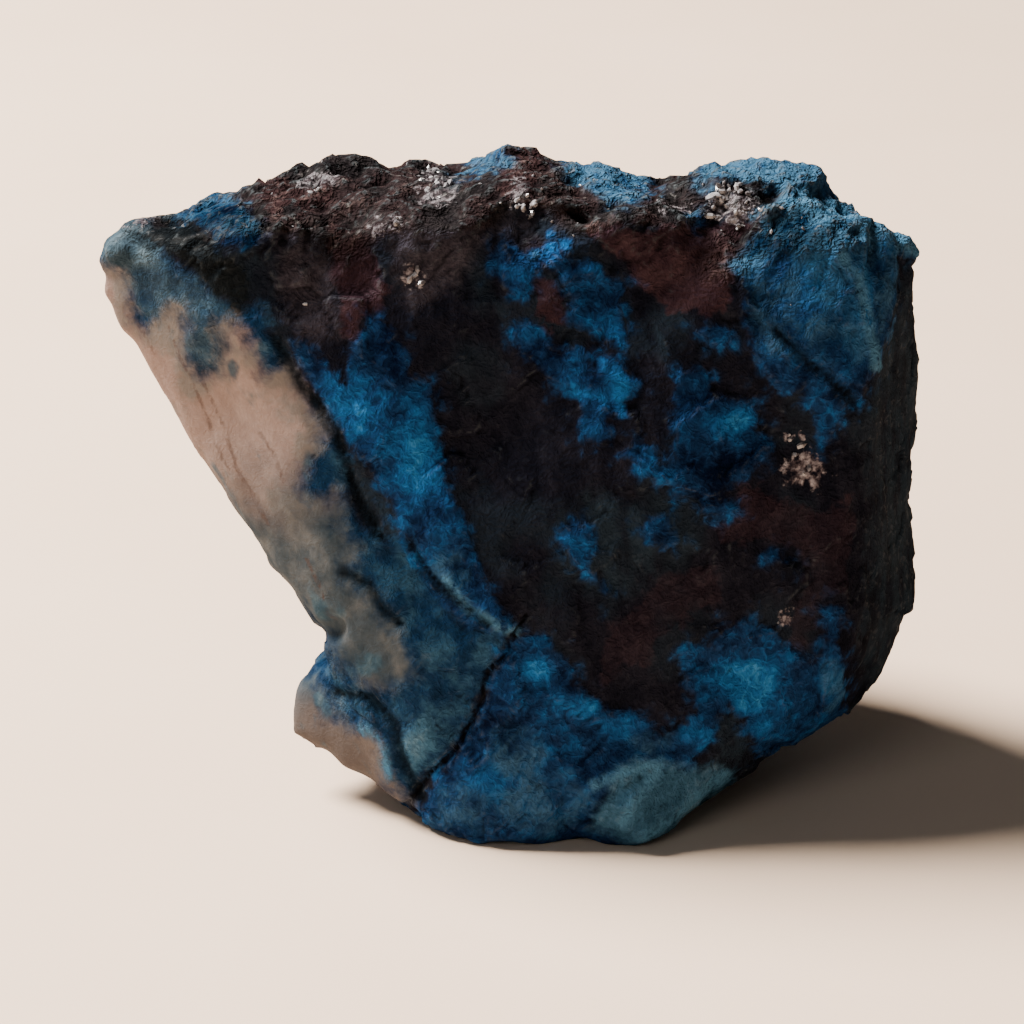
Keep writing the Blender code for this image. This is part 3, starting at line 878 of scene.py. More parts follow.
# %% [markdown]
# ## Relief in the mesh
#
# The breaks of an ore follow its minerals. Quartz breaks in smooth shells, the fibrous blue crust
# stands a little proud and is grainy, and the dark matrix crumbles in small flat chips. A bump in
# the material would only shade such forms, and the rim of the stone would stay smooth. So one
# Geometry Nodes tree adds them up and moves every point along its normal. The heights are inputs
# of the tree, so each can be turned in the modifier panel. The resting face keeps still: a stone
# that was roughened underneath would rock.
#
# Both trees of this lesson start and end alike, so small functions make their inputs, end them with
# a real mesh that has its material, and run them.

# %% Trees and their inputs
RELIEF = {
    "Chip size": 3.4 * MM,
    "Chip height": 0.34 * MM,
    "Small chip size": 1.5 * MM,
    "Small chip height": 0.11 * MM,
    "Grain size": 1.1 * MM,
    "Grain height": 0.12 * MM,
    "Crust height": 0.15 * MM,
    "Ridge size": 2.3 * MM,
    "Ridge height": 1.25 * MM,
    "Seam width": 0.34 * MM,
    "Seam depth": 0.34 * MM,
    "Crease depth": 0.22 * MM,
    "Lip height": 0.20 * MM,
    "Still below": 0.7 * MM,
}


def new_tree(name, values):
    """A Geometry Nodes tree with an input for each value, and the identifiers of its inputs."""
    tree = bpy.data.node_groups.new(name, "GeometryNodeTree")
    tree.interface.new_socket("Geometry", in_out="OUTPUT", socket_type="NodeSocketGeometry")
    tree.interface.new_socket("Geometry", in_out="INPUT", socket_type="NodeSocketGeometry")
    handles = {}
    for label, value in values.items():
        kind = "NodeSocketInt" if isinstance(value, int) else "NodeSocketFloat"
        socket = tree.interface.new_socket(label, in_out="INPUT", socket_type=kind)
        socket.default_value = value
        handles[label] = socket.identifier
    kind = "NodeSocketMaterial"
    socket = tree.interface.new_socket("Material", in_out="INPUT", socket_type=kind)
    handles["Material"] = socket.identifier
    return tree, handles


def end_tree(net, geometry, material):
    """Makes the geometry real, gives it its material, and sends it out of the tree."""
    whole = net.add("GeometryNodeRealizeInstances", None, {"Geometry": geometry})
    sockets = {"Geometry": whole, "Material": material}
    painted = net.add("GeometryNodeSetMaterial", None, sockets)
    net.add("NodeGroupOutput", None, {"Geometry": painted})


def run_tree(obj, tree, handles, values, material):
    """Runs a tree on the object and keeps the result as a plain mesh."""
    modifier = obj.modifiers.new(tree.name, "NODES")
    modifier.node_group = tree
    for label, value in values.items():
        modifier[handles[label]] = value
    modifier[handles["Material"]] = material
    return made_plain(obj)


relief, relief_handles = new_tree("Broken relief", RELIEF)
net = Net(relief)
given = net.add("NodeGroupInput")
print("the tree's inputs:", ", ".join(RELIEF))

# %% Chips and other patterns
RIDGE_RUN = (-0.50, -0.42, -0.76)
SEAM_WANDER = 0.9 * MM


def named(name, kind="FLOAT"):
    """The value of one of the mesh's own fields."""
    return net.add("GeometryNodeInputNamedAttribute", {"data_type": kind}, {"Name": name})


def chips(place, spacing, seed):
    """Flat chips: each Voronoi cell is a plane with a tilt of its own."""
    seed = (seed, seed, seed)
    cell = net.add(
        "ShaderNodeTexVoronoi", {"feature": "F1"},
        {"Vector": net.vector("ADD", place, seed), "Scale": 1.0 / spacing},
    )
    tilt = net.vector("SUBTRACT", cell.out("Color"), (0.5, 0.5, 0.5))
    middle = net.vector("SUBTRACT", cell.out("Position"), seed)
    arm = net.scaled(net.vector("SUBTRACT", place, middle), 1.0 / spacing)
    lift = net.add("ShaderNodeSeparateXYZ", None, {"Vector": tilt})
    return net.dot(arm, tilt) * 2.0 + lift


place = net.add("GeometryNodeInputPosition")
broken = chips(place, given.out("Chip size"), 1.0) * given.out("Chip height")
broken += chips(place, given.out("Small chip size"), 2.0) * given.out("Small chip height")
grain = net.add(
    "ShaderNodeTexNoise", None,
    {"Vector": place, "Scale": 1.0 / given.out("Grain size"), "Detail": 3.0, "Roughness": 0.6},
)
rilled = net.add(
    "ShaderNodeTexNoise", None,
    {
        "Vector": net.drawn_out(place, RIDGE_RUN, 3.2), "Scale": 1.0 / given.out("Ridge size"),
        "Detail": 2.0, "Roughness": 0.45, "Distortion": 0.5,
    },
)
wander = net.add("ShaderNodeTexNoise", None, {"Vector": place, "Scale": 1.0 / SEAM_WANDER}) - 0.5
print("nodes for the patterns:", len(relief.nodes))

# %% [markdown]
# Each pattern is let in only where its mineral lies. The chips are deep on the crest, shallower on
# the broad face and nearly gone on the quartz. The ridges belong to the crest and the rim under it.

# %% Shares of the patterns
RIM = (34.0, 41.0)
CHIPS_ON_RIM = 0.85
CHIPS_BROADSIDE = 0.45
LIP_FADES = (0.1, 1.1)

quartz, blue = (net.step(named(name), -0.15, 0.25) for name in ("quartz", "blue"))
unveiled = 1.0 - named("veil") * 0.75
rim_share = net.step(named("height"), *RIM) * (1.0 - quartz * 0.8) * unveiled
near_rim = named("crest").at_least(rim_share * 0.8)
chip_share = net.mixed(named("broadside"), 1.0, CHIPS_BROADSIDE)
chip_share = net.mixed(near_rim, chip_share, CHIPS_ON_RIM) * (1.0 - quartz * 0.75) * unveiled
width = given.out("Seam width")
into_seam = 1.0 - net.step(named("seam") * MM + wander * 0.3 * MM, 0.0, width)
into_crease = 1.0 - net.step(named("crease") * MM + wander * 0.4 * MM, 0.0, width * 1.5)
on_lip = 1.0 - net.step(named("ridge"), *LIP_FADES)
print("nodes with the shares:", len(relief.nodes))

# %% The height of the relief
ridges = 0.1 - abs(rilled - 0.5) * 5.0
height = broken * chip_share + ridges * rim_share * given.out("Ridge height") * 0.5
grainy = (grain - 0.5) * 2.0 * given.out("Grain height")
height += grainy * (0.45 + blue * 0.55) * (1.0 - quartz * 0.8)
height += blue * (1.0 - quartz) * given.out("Crust height")
height -= into_seam * given.out("Seam depth") + into_crease * given.out("Crease depth")
height += on_lip * given.out("Lip height") + named("swell") * MM
above_floor = net.add("ShaderNodeSeparateXYZ", None, {"Vector": place}, "Z")
height = height * net.step(above_floor, 0.1 * MM, given.out("Still below"))
offset = net.scaled(net.add("GeometryNodeInputNormal"), height)
sockets = {"Geometry": given.out("Geometry"), "Offset": offset}
moved = net.add("GeometryNodeSetPosition", None, sockets)
end_tree(net, moved, given.out("Material"))
print("nodes in the whole tree:", len(relief.nodes))

# %% [markdown]
# ## The material
#
# The material lays the minerals over each other in the order in which they hide one another: dark
# matrix, red iron stain, teal, the dark cap, blue, pale crust and quartz on top. Each border is the
# distance from the map with noise added, cut at zero, so it frays as finely as the noise does.
#
# A mineral's colour is a ramp from its darkest to its lightest grain, which noise walks along.

# %% Colours of the dark minerals
MATRIX = [
    (0.30, (0.0030, 0.0035, 0.0062)), (0.46, (0.0062, 0.0067, 0.0114)),
    (0.60, (0.0112, 0.0114, 0.0178)), (0.76, (0.0240, 0.0220, 0.0285)),
]
DUST = [
    (0.30, (0.0060, 0.0051, 0.0060)), (0.46, (0.0148, 0.0124, 0.0132)),
    (0.60, (0.031, 0.0256, 0.0258)), (0.76, (0.073, 0.062, 0.061)),
]
STAIN = [
    (0.30, (0.0138, 0.0076, 0.0108)), (0.50, (0.0285, 0.0154, 0.0200)),
    (0.72, (0.054, 0.0305, 0.0360)),
]
STAIN_LIT = [
    (0.30, (0.010, 0.0052, 0.0060)), (0.52, (0.040, 0.0215, 0.0215)),
    (0.74, (0.160, 0.105, 0.096)),
]
MAUVE_TONES = [
    (0.30, (0.0120, 0.0110, 0.0155)), (0.52, (0.0320, 0.0280, 0.0365)),
    (0.74, (0.056, 0.052, 0.066)),
]
CAP_TONES = [
    (0.30, (0.0030, 0.0042, 0.0052)), (0.55, (0.0070, 0.0090, 0.0108)),
    (0.76, (0.0140, 0.0170, 0.0195)),
]
SLATE_BLUE = (0.0126, 0.0212, 0.0315)
SEAM_DARK = (0.0012, 0.0012, 0.0016)
CREASE_DARK = (0.0030, 0.0060, 0.0090)
print("the matrix runs from", MATRIX[0][1], "to", MATRIX[-1][1])

# %% Colours of the blue minerals
AZURE = [
    (0.00, (0.0020, 0.0050, 0.0175)), (0.20, (0.0040, 0.0130, 0.042)),
    (0.40, (0.0068, 0.0280, 0.085)), (0.58, (0.0088, 0.051, 0.152)),
    (0.78, (0.0135, 0.097, 0.268)), (1.00, (0.042, 0.184, 0.375)),
]
FIBRE = [
    (0.30, (0.0034, 0.014, 0.040)), (0.50, (0.010, 0.040, 0.090)), (0.74, (0.038, 0.098, 0.158)),
]
TEAL_TONES = [
    (0.28, (0.0024, 0.0086, 0.0220)), (0.46, (0.0060, 0.0222, 0.056)),
    (0.72, (0.026, 0.076, 0.128)),
]
VEIL_TONES = [
    (0.32, (0.015, 0.027, 0.034)), (0.52, (0.041, 0.063, 0.075)), (0.72, (0.096, 0.128, 0.144)),
]
WISP_TONES = [
    (0.32, (0.0085, 0.0230, 0.0400)), (0.52, (0.024, 0.054, 0.080)),
    (0.72, (0.066, 0.105, 0.128)),
]
PALE_TONES = [
    (0.32, (0.0110, 0.038, 0.070)), (0.52, (0.030, 0.084, 0.142)), (0.72, (0.088, 0.165, 0.230)),
]
PAINTED_EDGE_HIGHLIGHT = (0.058, 0.160, 0.262)
print("the crust runs from", AZURE[0][1], "to", AZURE[-1][1])

# %% Colours of the quartz and the crumbs
QUARTZ_PINK = [
    (0.30, (0.148, 0.102, 0.089)), (0.52, (0.212, 0.158, 0.140)), (0.75, (0.31, 0.250, 0.229)),
]
QUARTZ_GREY = [
    (0.30, (0.015, 0.027, 0.038)), (0.50, (0.040, 0.052, 0.062)), (0.72, (0.112, 0.117, 0.118)),
]
QUARTZ_BROWN = (0.094, 0.075, 0.067)
QUARTZ_CLOUD = (0.115, 0.112, 0.106)
CRACK = (0.062, 0.038, 0.030)
CHALK_TONES = [
    (0.38, (0.024, 0.018, 0.022)), (0.50, (0.080, 0.063, 0.070)), (0.62, (0.340, 0.312, 0.330)),
]
FLECK_AND_GLINT = (0.150, 0.138, 0.130)
WORN_AND_HIGHLIT_EDGE = (0.064, 0.074, 0.080)
print("the quartz runs from", QUARTZ_PINK[0][1], "to", QUARTZ_PINK[-1][1])

# %% Places and patterns
FIBRE_RUN = (-0.42, -0.35, -0.84)
VEIN_RUN = (0.56, 0.0, -0.83)
MATRIX_RUN = (0.22, -0.20, -0.95)


def new_material(name):
    """A material without nodes, its net, and the place on the object in millimetres."""
    material = bpy.data.materials.new(name)
    material.use_nodes = True
    material.node_tree.nodes.clear()
    net = Net(material.node_tree)
    return material, net, net.scaled(net.add("ShaderNodeTexCoord", output="Object"), 1.0 / MM)


def field(name):
    """The value of one of the skin's own fields."""
    return net.add("ShaderNodeAttribute", {"attribute_name": name}, output="Fac")


def tones(value, stops):
    """The colour that a value picks from a ramp."""
    return value.net.add("ShaderNodeValToRGB", {"stops": stops}, {"Fac": value})


ore, net, place = new_material("shattuckite ore")
broad = net.cloud(place, 5.0, detail=3.0)
medium = net.cloud(place, 1.7, detail=3.0, rough=0.5)
fine = net.cloud(place, 0.42, detail=3.0, rough=0.6)
wobble = net.cloud(place, 1.1, detail=2.0, output="Color")
swirl = net.scaled(net.vector("SUBTRACT", wobble, (0.5, 0.5, 0.5)), 1.5)
warped = net.vector("ADD", place, swirl)
clump = net.cells(warped, 1.0)
foam = 1.0 - net.step(net.cells(warped, 0.85, feature="DISTANCE_TO_EDGE"), 0.0, 0.22)
grains = net.cells(warped, 0.26)
grain_value = net.add("ShaderNodeSeparateColor", None, {"Color": grains.out("Color")}, "Red")
curls = 1.0 - net.step(abs(net.cloud(warped, 1.4, detail=2.0) - 0.5), 0.0, 0.035)
fibre_place = net.vector("ADD", net.drawn_out(place, FIBRE_RUN, 5.0), net.scaled(wobble, 0.8))
fibre = 1.0 - abs(net.cloud(fibre_place, 0.8, detail=3.0, rough=0.6) - 0.5) * 3.4
strands = net.cloud(net.drawn_out(place, MATRIX_RUN, 3.5), 1.3, detail=3.0)
streaks = net.cloud(net.drawn_out(place, VEIN_RUN, 5.0), 1.8, detail=3.0)
crest, on_fibres = field("crest"), field("fibres")
print("nodes for the patterns:", len(ore.node_tree.nodes))

# %% [markdown]
# A border is where the distance plus some noise crosses zero. Blue needs two borders, since it is
# part crust and part dust: a firm one, and beyond it grains that thin out into the dark matrix.

# %% Borders
DUST_SHARE = 0.45

fray = net.cloud(place, 1.7, detail=4.0, rough=0.62) - 0.5
fine_fray = fine - 0.5


def cover(name, coarse, clumpy, soft):
    """Where a mineral shows: its distance, frayed by so many millimetres, and cut at zero."""
    frayed = field(name) + fray * (2.0 * coarse) + (0.42 - clump) * (2.0 * clumpy)
    return net.step(frayed + fine_fray * 0.5, -soft, soft)


is_red = cover("red", coarse=0.9, clumpy=0.5, soft=0.30)
is_teal = cover("teal", coarse=1.0, clumpy=0.3, soft=0.60)
is_crust = cover("blue", coarse=0.85, clumpy=0.45, soft=0.38)
is_dust = cover("blue", coarse=1.6, clumpy=0.9, soft=1.00)
is_blue = is_crust + (1.0 - is_crust) * is_dust * DUST_SHARE
is_pale = cover("pale", coarse=0.6, clumpy=0.3, soft=0.50)
is_quartz = cover("quartz", coarse=1.6, clumpy=0.3, soft=0.95)
is_cap = cover("cap", coarse=0.9, clumpy=0.4, soft=0.45)
is_slate = cover("slate", coarse=1.4, clumpy=0.5, soft=1.00)
is_mauve = cover("mauve", coarse=1.2, clumpy=0.4, soft=0.90)
off_quartz = 1.0 - is_quartz
print("nodes with the borders:", len(ore.node_tree.nodes))

# %% Dark minerals
even_mix = medium * 0.5 + fine * 0.5
lit_stain = tones(even_mix, STAIN_LIT)
matrix = tones(medium * 0.3 + strands * 0.45 + fine * 0.25, MATRIX)
matrix = net.colours(net.step(broad, 0.50, 0.66) * 0.45, matrix, SLATE_BLUE)
matrix = net.colours(is_slate * (0.25 + net.step(strands, 0.36, 0.62) * 0.70), matrix, SLATE_BLUE)
matrix = net.colours(is_mauve * 0.85, matrix, tones(even_mix, MAUVE_TONES))
dust = tones(medium * 0.3 + strands * 0.4 + fine * 0.25 + grain_value * 0.06, DUST)
rust = net.cloud(net.drawn_out(place, RIDGE_RUN, 3.0), 3.2, detail=2.0)
dust = net.colours(net.step(rust, 0.46, 0.62) * 0.6, dust, lit_stain)
matrix = net.colours(crest * 0.9, matrix, dust)
red = tones(medium * 0.7 + fine * 0.3, STAIN)
red = net.colours(crest * 0.85, red, lit_stain)
cap = tones(medium * 0.6 + fine * 0.4, CAP_TONES)
print("nodes with the dark minerals:", len(ore.node_tree.nodes))

# %% Teal, blue and pale crust
teal_mix = medium * 0.65 + broad * 0.20 + fine * 0.15 + field("tone") * 0.08
veil_mix = medium * 0.6 + broad * 0.25 + fine * 0.15
teal = net.colours(field("veil") * 0.78, tones(teal_mix, TEAL_TONES), tones(veil_mix, VEIL_TONES))
cloudy = net.step(broad, 0.40, 0.62)
calm = net.step(field("tone") + on_fibres * 1.6, 0.9, 1.5) * 0.55
mottle = medium - 0.5 + (fine - 0.5) * 0.18
mottle = mottle + (0.40 - clump) * 0.30 + (grain_value - 0.5) * 0.08
azure_mix = 0.32 - crest * 0.15 + field("tone") * 0.24 + cloudy * 0.05 + mottle * (1.0 - calm)
azure_mix = azure_mix + calm * (1.0 - on_fibres) * 0.08
azure_mix = azure_mix + foam * (0.04 + cloudy * 0.09) + curls * (0.03 + crest * 0.09)
fibrous = tones(fibre * 0.45 + medium * 0.35 + fine * 0.2 + field("tone") * 0.11, FIBRE)
fibre_share = net.step(on_fibres * 0.8 + crest * 0.9 + (medium - 0.5) * 1.6, 0.40, 1.00)
azure = net.colours(fibre_share * (0.50 + crest * 0.35), tones(azure_mix, AZURE), fibrous)
pale = tones(medium * 0.4 + strands * 0.35 + fine * 0.25, PALE_TONES)
print("nodes with the blue minerals:", len(ore.node_tree.nodes))

# %% [markdown]
# The quartz is pinkish high up, clouded near its borders, grey lower down and brown at the foot.
# Teal wisps grew into it, and hairlines run through it.

# %% Quartz
GREY_BELOW = (19.5, 27.0)
BROWN_BELOW = (7.0, 10.5)
HAIRLINE_WIDTH = 0.17

pink = tones(streaks * 0.55 + broad * 0.3 + fine * 0.15, QUARTZ_PINK)
near_border = 1.0 - net.step(field("quartz"), 0.3, 3.2)
clouded = net.step(broad * 0.6 + medium * 0.4 + near_border * 0.16, 0.52, 0.66)
pink = net.colours(clouded * 0.75, pink, QUARTZ_CLOUD)
up = field("height") + (broad - 0.5) * 8.0
grey = tones(medium * 0.6 + broad * 0.4, QUARTZ_GREY)
milky = net.colours(1.0 - net.step(up, *GREY_BELOW), pink, grey)
milky = net.colours((1.0 - net.step(up, *BROWN_BELOW)) * 0.8, milky, QUARTZ_BROWN)
hairline = 1.0 - net.step(field("crack") + fray * 0.7 + fine_fray * 0.2, 0.0, HAIRLINE_WIDTH)
hairline = hairline * net.step(medium, 0.32, 0.46)
milky = net.colours(hairline * 0.6, milky, CRACK)
wisp_mix = field("wisp") * 0.9 + (streaks - 0.5) * 3.4 + (medium - 0.5) * 2.2
wisp = net.step(wisp_mix, 0.40, 1.15)
milky = net.colours(wisp * 0.8, milky, tones(medium * 0.7 + fine * 0.3, WISP_TONES))
print("nodes with the quartz:", len(ore.node_tree.nodes))

# %% Layers of mineral
red_share = net.mixed(net.step(field("height"), 18.0, 30.0), 0.30, 0.95)
colour = net.colours(is_red * red_share, matrix, red)
for share, mineral in (
    (is_teal, teal), (is_cap, cap), (is_blue, azure), (is_pale, pale), (is_quartz, milky),
):
    colour = net.colours(share, colour, mineral)
print("nodes with the layers:", len(ore.node_tree.nodes))

# %% [markdown]
# Over the minerals lie the marks of breaking and handling, and some painted light: a painted
# highlight along the lips, dark creases and the seam, crumbs of quartz, sharp edges made pale (part
# wear, part painted highlight), darker pits, and a few pale flecks (part grain, part painted
# glint).
# The field "worn" is written further down, once the relief has given the mesh its edges.

# %% Marks on the minerals and painted highlights
MARKS = {"lip": 0.75, "crease": 0.75, "crumbs": 0.85, "dirt": 0.55, "seam": 0.9, "fleck": 0.5}

# A painted highlight along the lips, broken up by noise, and not on the quartz.
lip = 1.0 - net.step(field("ridge") + fray * 0.9 + fine_fray * 0.5, 0.05, 0.60)
lip = lip * net.step(strands * 0.5 + fine * 0.5, 0.36, 0.52) * off_quartz
colour = net.colours(lip * MARKS["lip"], colour, PAINTED_EDGE_HIGHLIGHT)
crease = 1.0 - net.step(field("crease") + fray * 0.9, 0.05, 0.65)
colour = net.colours(crease * MARKS["crease"], colour, CREASE_DARK)
crumb_mix = field("chalk") * 0.9 + (strands - 0.5) * 2.4 + fine_fray * 2.6 + (0.4 - clump) * 0.8
crumbs = net.step(crumb_mix, 0.36, 0.92) * net.step(field("chalk"), 0.05, 0.5)
chalky = tones(fine * 0.6 + strands * 0.4, CHALK_TONES)
colour = net.colours(crumbs * MARKS["crumbs"], colour, chalky)
# The field "worn" holds how sharp each point is: high on edges, low in pits.
worn = field("worn")
# Sharp edges made paler: part wear, part a painted highlight, stronger on the crest that the lamp
# lights.
pale_worn_and_highlit_edges = net.step(worn, 0.58, 0.95) * (0.25 + crest * 0.6) * off_quartz
colour = net.colours(pale_worn_and_highlit_edges * net.step(fine, 0.35, 0.6), colour, WORN_AND_HIGHLIT_EDGE)
# Darker in the pits: the colour goes toward the seam's dark where the surface is hollow.
dirt = 1.0 - net.step(worn, 0.08, 0.46)
colour = net.colours(dirt * MARKS["dirt"] * off_quartz, colour, SEAM_DARK)
seam = 1.0 - net.step(field("seam") + fray * 0.9 + fine_fray * 0.3, 0.0, 0.30)
colour = net.colours(seam * net.step(medium, 0.34, 0.50) * MARKS["seam"], colour, SEAM_DARK)
# A few pale flecks, more on the crest: part pale grains, part painted glint.
fleck = net.step(grain_value, 0.975, 0.990) * net.step(crest * 0.30 + medium * 0.9, 0.62, 0.85)
colour = net.colours(fleck * off_quartz * MARKS["fleck"], colour, FLECK_AND_GLINT)
speckle = net.mixed(is_quartz, 0.84 + grain_value * 0.32, 0.95 + grain_value * 0.10)
# Painted shade: the crest, which the lamp lights most, is made darker where it isn't blue, and the
# spots in the shade under the crest are darkened too.
painted_shade = (1.0 - crest * (1.0 - is_blue) * 0.34) * (1.0 - field("damp") * 0.62)
colour = net.scaled(colour, speckle * painted_shade)
print("nodes with the marks:", len(ore.node_tree.nodes))

# %% Roughness, gloss and bumps
satin = net.step(broad, 0.42, 0.60)
roughness = 0.66 - satin * 0.20 + (grain_value - 0.5) * 0.3
roughness = net.mixed(is_blue, roughness, 0.62 + (fine - 0.5) * 0.4)
roughness = net.mixed(is_quartz, roughness, 0.42 + (medium - 0.5) * 0.2)
gloss = 0.01 + net.step(grain_value, 0.84, 0.98) * 0.05 + is_quartz * 0.05 + satin * 0.01

rough_share = net.mixed(net.step(field("quartz"), -0.4, 0.4), 0.75 + crest * 0.9, 0.20)
bumps = (fine * 0.15 + medium * 0.24 + grains * 0.10 - clump * 0.12) * rough_share
bump = net.add("ShaderNodeBump", None, {"Strength": 1.0, "Distance": MM, "Height": bumps})
surface = net.add(
    "ShaderNodeBsdfPrincipled", None,
    {
        "Base Color": colour, "Roughness": roughness, "Normal": bump,
        "Specular IOR Level": 0.0, "Coat Weight": gloss, "Coat Roughness": 0.32, "Coat IOR": 1.4,
    },
)
net.add("ShaderNodeOutputMaterial", None, {"Surface": surface})
print("nodes in the material:", len(ore.node_tree.nodes))

# %% Give the skin its relief
skin = run_tree(stone, relief, relief_handles, RELIEF, ore)
skin.shade_smooth()
skin.name = "stone_surface"
print("triangles:", sum(len(p.vertices) - 2 for p in skin.polygons))

# %% [markdown]
# The sharp edges are made paler, partly as wear and partly as a painted highlight, and the pits
# are made darker. How sharp a point is shows in its neighbours: the further their middle lies under
# it, as a share of their distance, the sharper it is. Cycles has a like measure, the Pointiness of
# its Geometry node, but a number that is kept on the mesh serves other renderers too.

# %% Sharp edges
WEAR = 1.6

ends = np.empty(len(skin.edges) * 2, dtype=np.int32)
skin.edges.foreach_get("vertices", ends)
ends = ends.reshape(-1, 2)
places = vectors_of(skin.vertices, "co")
normals = vectors_of(skin.vertex_normals, "vector")
count = np.zeros(len(places))
middle = np.zeros(places.shape)
reach = np.zeros(len(places))
gap = np.linalg.norm(places[ends[:, 0]] - places[ends[:, 1]], axis=1)
for here, there in ((0, 1), (1, 0)):
    np.add.at(middle, ends[:, here], places[ends[:, there]])
    np.add.at(reach, ends[:, here], gap)
    np.add.at(count, ends[:, here], 1.0)
under = ((places - middle / count[:, None]) * normals).sum(axis=1) / (reach / count)
wear = np.clip(0.5 + WEAR * under, 0.0, 1.0)
write_field(skin, "worn", wear)
print("share of points worn pale:", round(float((wear > 0.7).mean()), 3))

# %% [markdown]
# ## Druse
#
# Small open gaps in the ore are lined with quartz points a few tenths of a millimetre long. They
# are a mesh of their own: a point for every crystal, with its direction and size, and a tree that
# stands a six-sided crystal on each. They grow thickly in the gaps of the front, in crowds on the
# back, and singly on the crest, where they glitter.

# %% Where crystals grew
# Each gap: its middle on the board, its radius in millimetres, and the size of its crystals.
DRUSE = {
    "in the matrix": ((-6.4, 37.0), 0.7, 0.24),
    "above it": ((-7.8, 40.4), 0.5, 0.24),
    "crest, left": ((-5.0, 43.0), 1.0, 0.26),
    "rim": ((-12.6, 43.0), 0.6, 0.22),
    "gap at the right": ((19.4, 24.2), 0.8, 0.20),
    "above the gap": ((18.4, 26.2), 0.6, 0.24),
    "crest, right": ((14.2, 41.5), 1.7, 0.24),
    "beside the foot": ((17.8, 14.6), 0.6, 0.16),
    "under the crest": ((0.8, 41.6), 0.8, 0.24),
}
# The share of the points in a gap that carry a crystal: on the front, and at most behind.
FULLNESS = 0.34
FULLNESS_BEHIND = 0.9
SIZE_BEHIND = 0.26
# How far a face is turned to the eye: enough for the front, and far enough away for the back.
FACES_EYE = 0.1
FACES_AWAY = (-0.05, -0.35)
CRUMBLY_ABOVE = 0.6
# The crystals that glitter on the crest: how many, how large, and where the crest is.
GLITTER = 60
GLITTER_SIZE = 0.13
CREST_SLOPE = 0.45
CREST_FROM = 33.0 * MM
CREST_HALF_WIDTH = 20.0 * MM

picker = np.random.default_rng(7)
across, above = board_places(places)
toward = normals @ np.array(to_eye)
on_back = smooth_step(*FACES_AWAY, toward)
grown = []
for (x, y), radius, size in DRUSE.values():
    near = np.hypot(across - x, above - y) < radius
    near = np.flatnonzero(near & (toward > FACES_EYE))
    grown += [(int(i), size) for i in near[picker.random(len(near)) < FULLNESS]]
crumbly = np.empty(len(places), dtype=np.float32)
skin.attributes["chalk"].data.foreach_get("value", crumbly)
crowd = FULLNESS_BEHIND * np.clip(clouds(1.6, 3, 83.0), 0.0, 1.0) * on_back
gaps = np.flatnonzero((crumbly > CRUMBLY_ABOVE) & (picker.random(len(places)) < crowd))
grown += [(int(i), SIZE_BEHIND) for i in gaps]
high_up = (normals[:, 2] > CREST_SLOPE) & (places[:, 2] > CREST_FROM)
on_crest = np.flatnonzero(high_up & (np.abs(places[:, 0]) < CREST_HALF_WIDTH))
grown += [(int(i), GLITTER_SIZE) for i in picker.choice(on_crest, GLITTER, replace=False)]
print("places for crystals:", len(grown))

# %% [markdown]
# The crystals don't sit on the points of the mesh but a little beside them, in the surface and sunk
# into it by a hair, and each leans its own way. None grow at the base, where the stone rests.

# %% Seats, leans and sizes
DRIFT = 0.10 * MM
SUNK = 0.03 * MM
LEAN = 0.75
SIZES = (0.4, 1.9)
BARE_BELOW = 1.5 * MM

seats = np.array([places[i] for i, size in grown])
outward = np.array([normals[i] for i, size in grown])
shift = picker.normal(0.0, DRIFT, seats.shape)
seats += shift - outward * ((shift * outward).sum(axis=1, keepdims=True) + SUNK)
leans = outward + picker.normal(0.0, LEAN, seats.shape)
sizes = np.array([size for i, size in grown]) * picker.uniform(*SIZES, len(grown))
above_base = seats[:, 2] > BARE_BELOW
seats, leans, sizes = seats[above_base], leans[above_base], sizes[above_base]
points = bpy.data.meshes.new("druse_points")
points.from_pydata([tuple(seat) for seat in seats], [], [])
write_field(points, "size", sizes)
lean_data = points.attributes.new("lean", "FLOAT_VECTOR", "POINT").data
lean_data.foreach_set("vector", leans.astype(np.float32).ravel())
druse = bpy.data.objects.new("quartz_druse", points)
bpy.context.scene.collection.objects.link(druse)
print("crystals:", len(seats))

# %% The crystal tree
CRYSTAL = {"Length": 0.9 * MM, "Radius": 0.45 * MM, "Point": 0.60 * MM, "Seed": 5}
SIDES = 6

growth, growth_handles = new_tree("Druse", CRYSTAL)
net = Net(growth)
given = net.add("NodeGroupInput")
radius = given.out("Radius")
prism = net.add(
    "GeometryNodeMeshCylinder", {"fill_type": "NONE"},
    {"Vertices": SIDES, "Radius": radius, "Depth": given.out("Length")},
)
tip = net.add(
    "GeometryNodeMeshCone", {"fill_type": "NONE"},
    {"Vertices": SIDES, "Radius Bottom": radius, "Radius Top": 0.0, "Depth": given.out("Point")},
)
top = net.add("ShaderNodeCombineXYZ", None, {"Z": given.out("Length") * 0.5})
tip = net.add("GeometryNodeTransform", None, {"Geometry": tip, "Translation": top})
crystal = net.add("GeometryNodeJoinGeometry", None, {"Geometry": tip})
net.tree.links.new(prism.socket, crystal.node.inputs["Geometry"])
sockets = {"Vector": named("lean", "FLOAT_VECTOR")}
turn = net.add("FunctionNodeAlignRotationToVector", {"axis": "Z"}, sockets)
stood = net.add(
    "GeometryNodeInstanceOnPoints", None,
    {
        "Points": given.out("Geometry"), "Instance": crystal, "Rotation": turn,
        "Scale": named("size"),
    },
)
spin = net.add(
    "FunctionNodeRandomValue", {"data_type": "FLOAT"},
    {"Min": 0.0, "Max": math.tau, "Seed": given.out("Seed")}, output=1,
)
sockets = {"Instances": stood, "Rotation": net.add("ShaderNodeCombineXYZ", None, {"Z": spin})}
stood = net.add("GeometryNodeRotateInstances", None, sockets)
end_tree(net, stood, given.out("Material"))
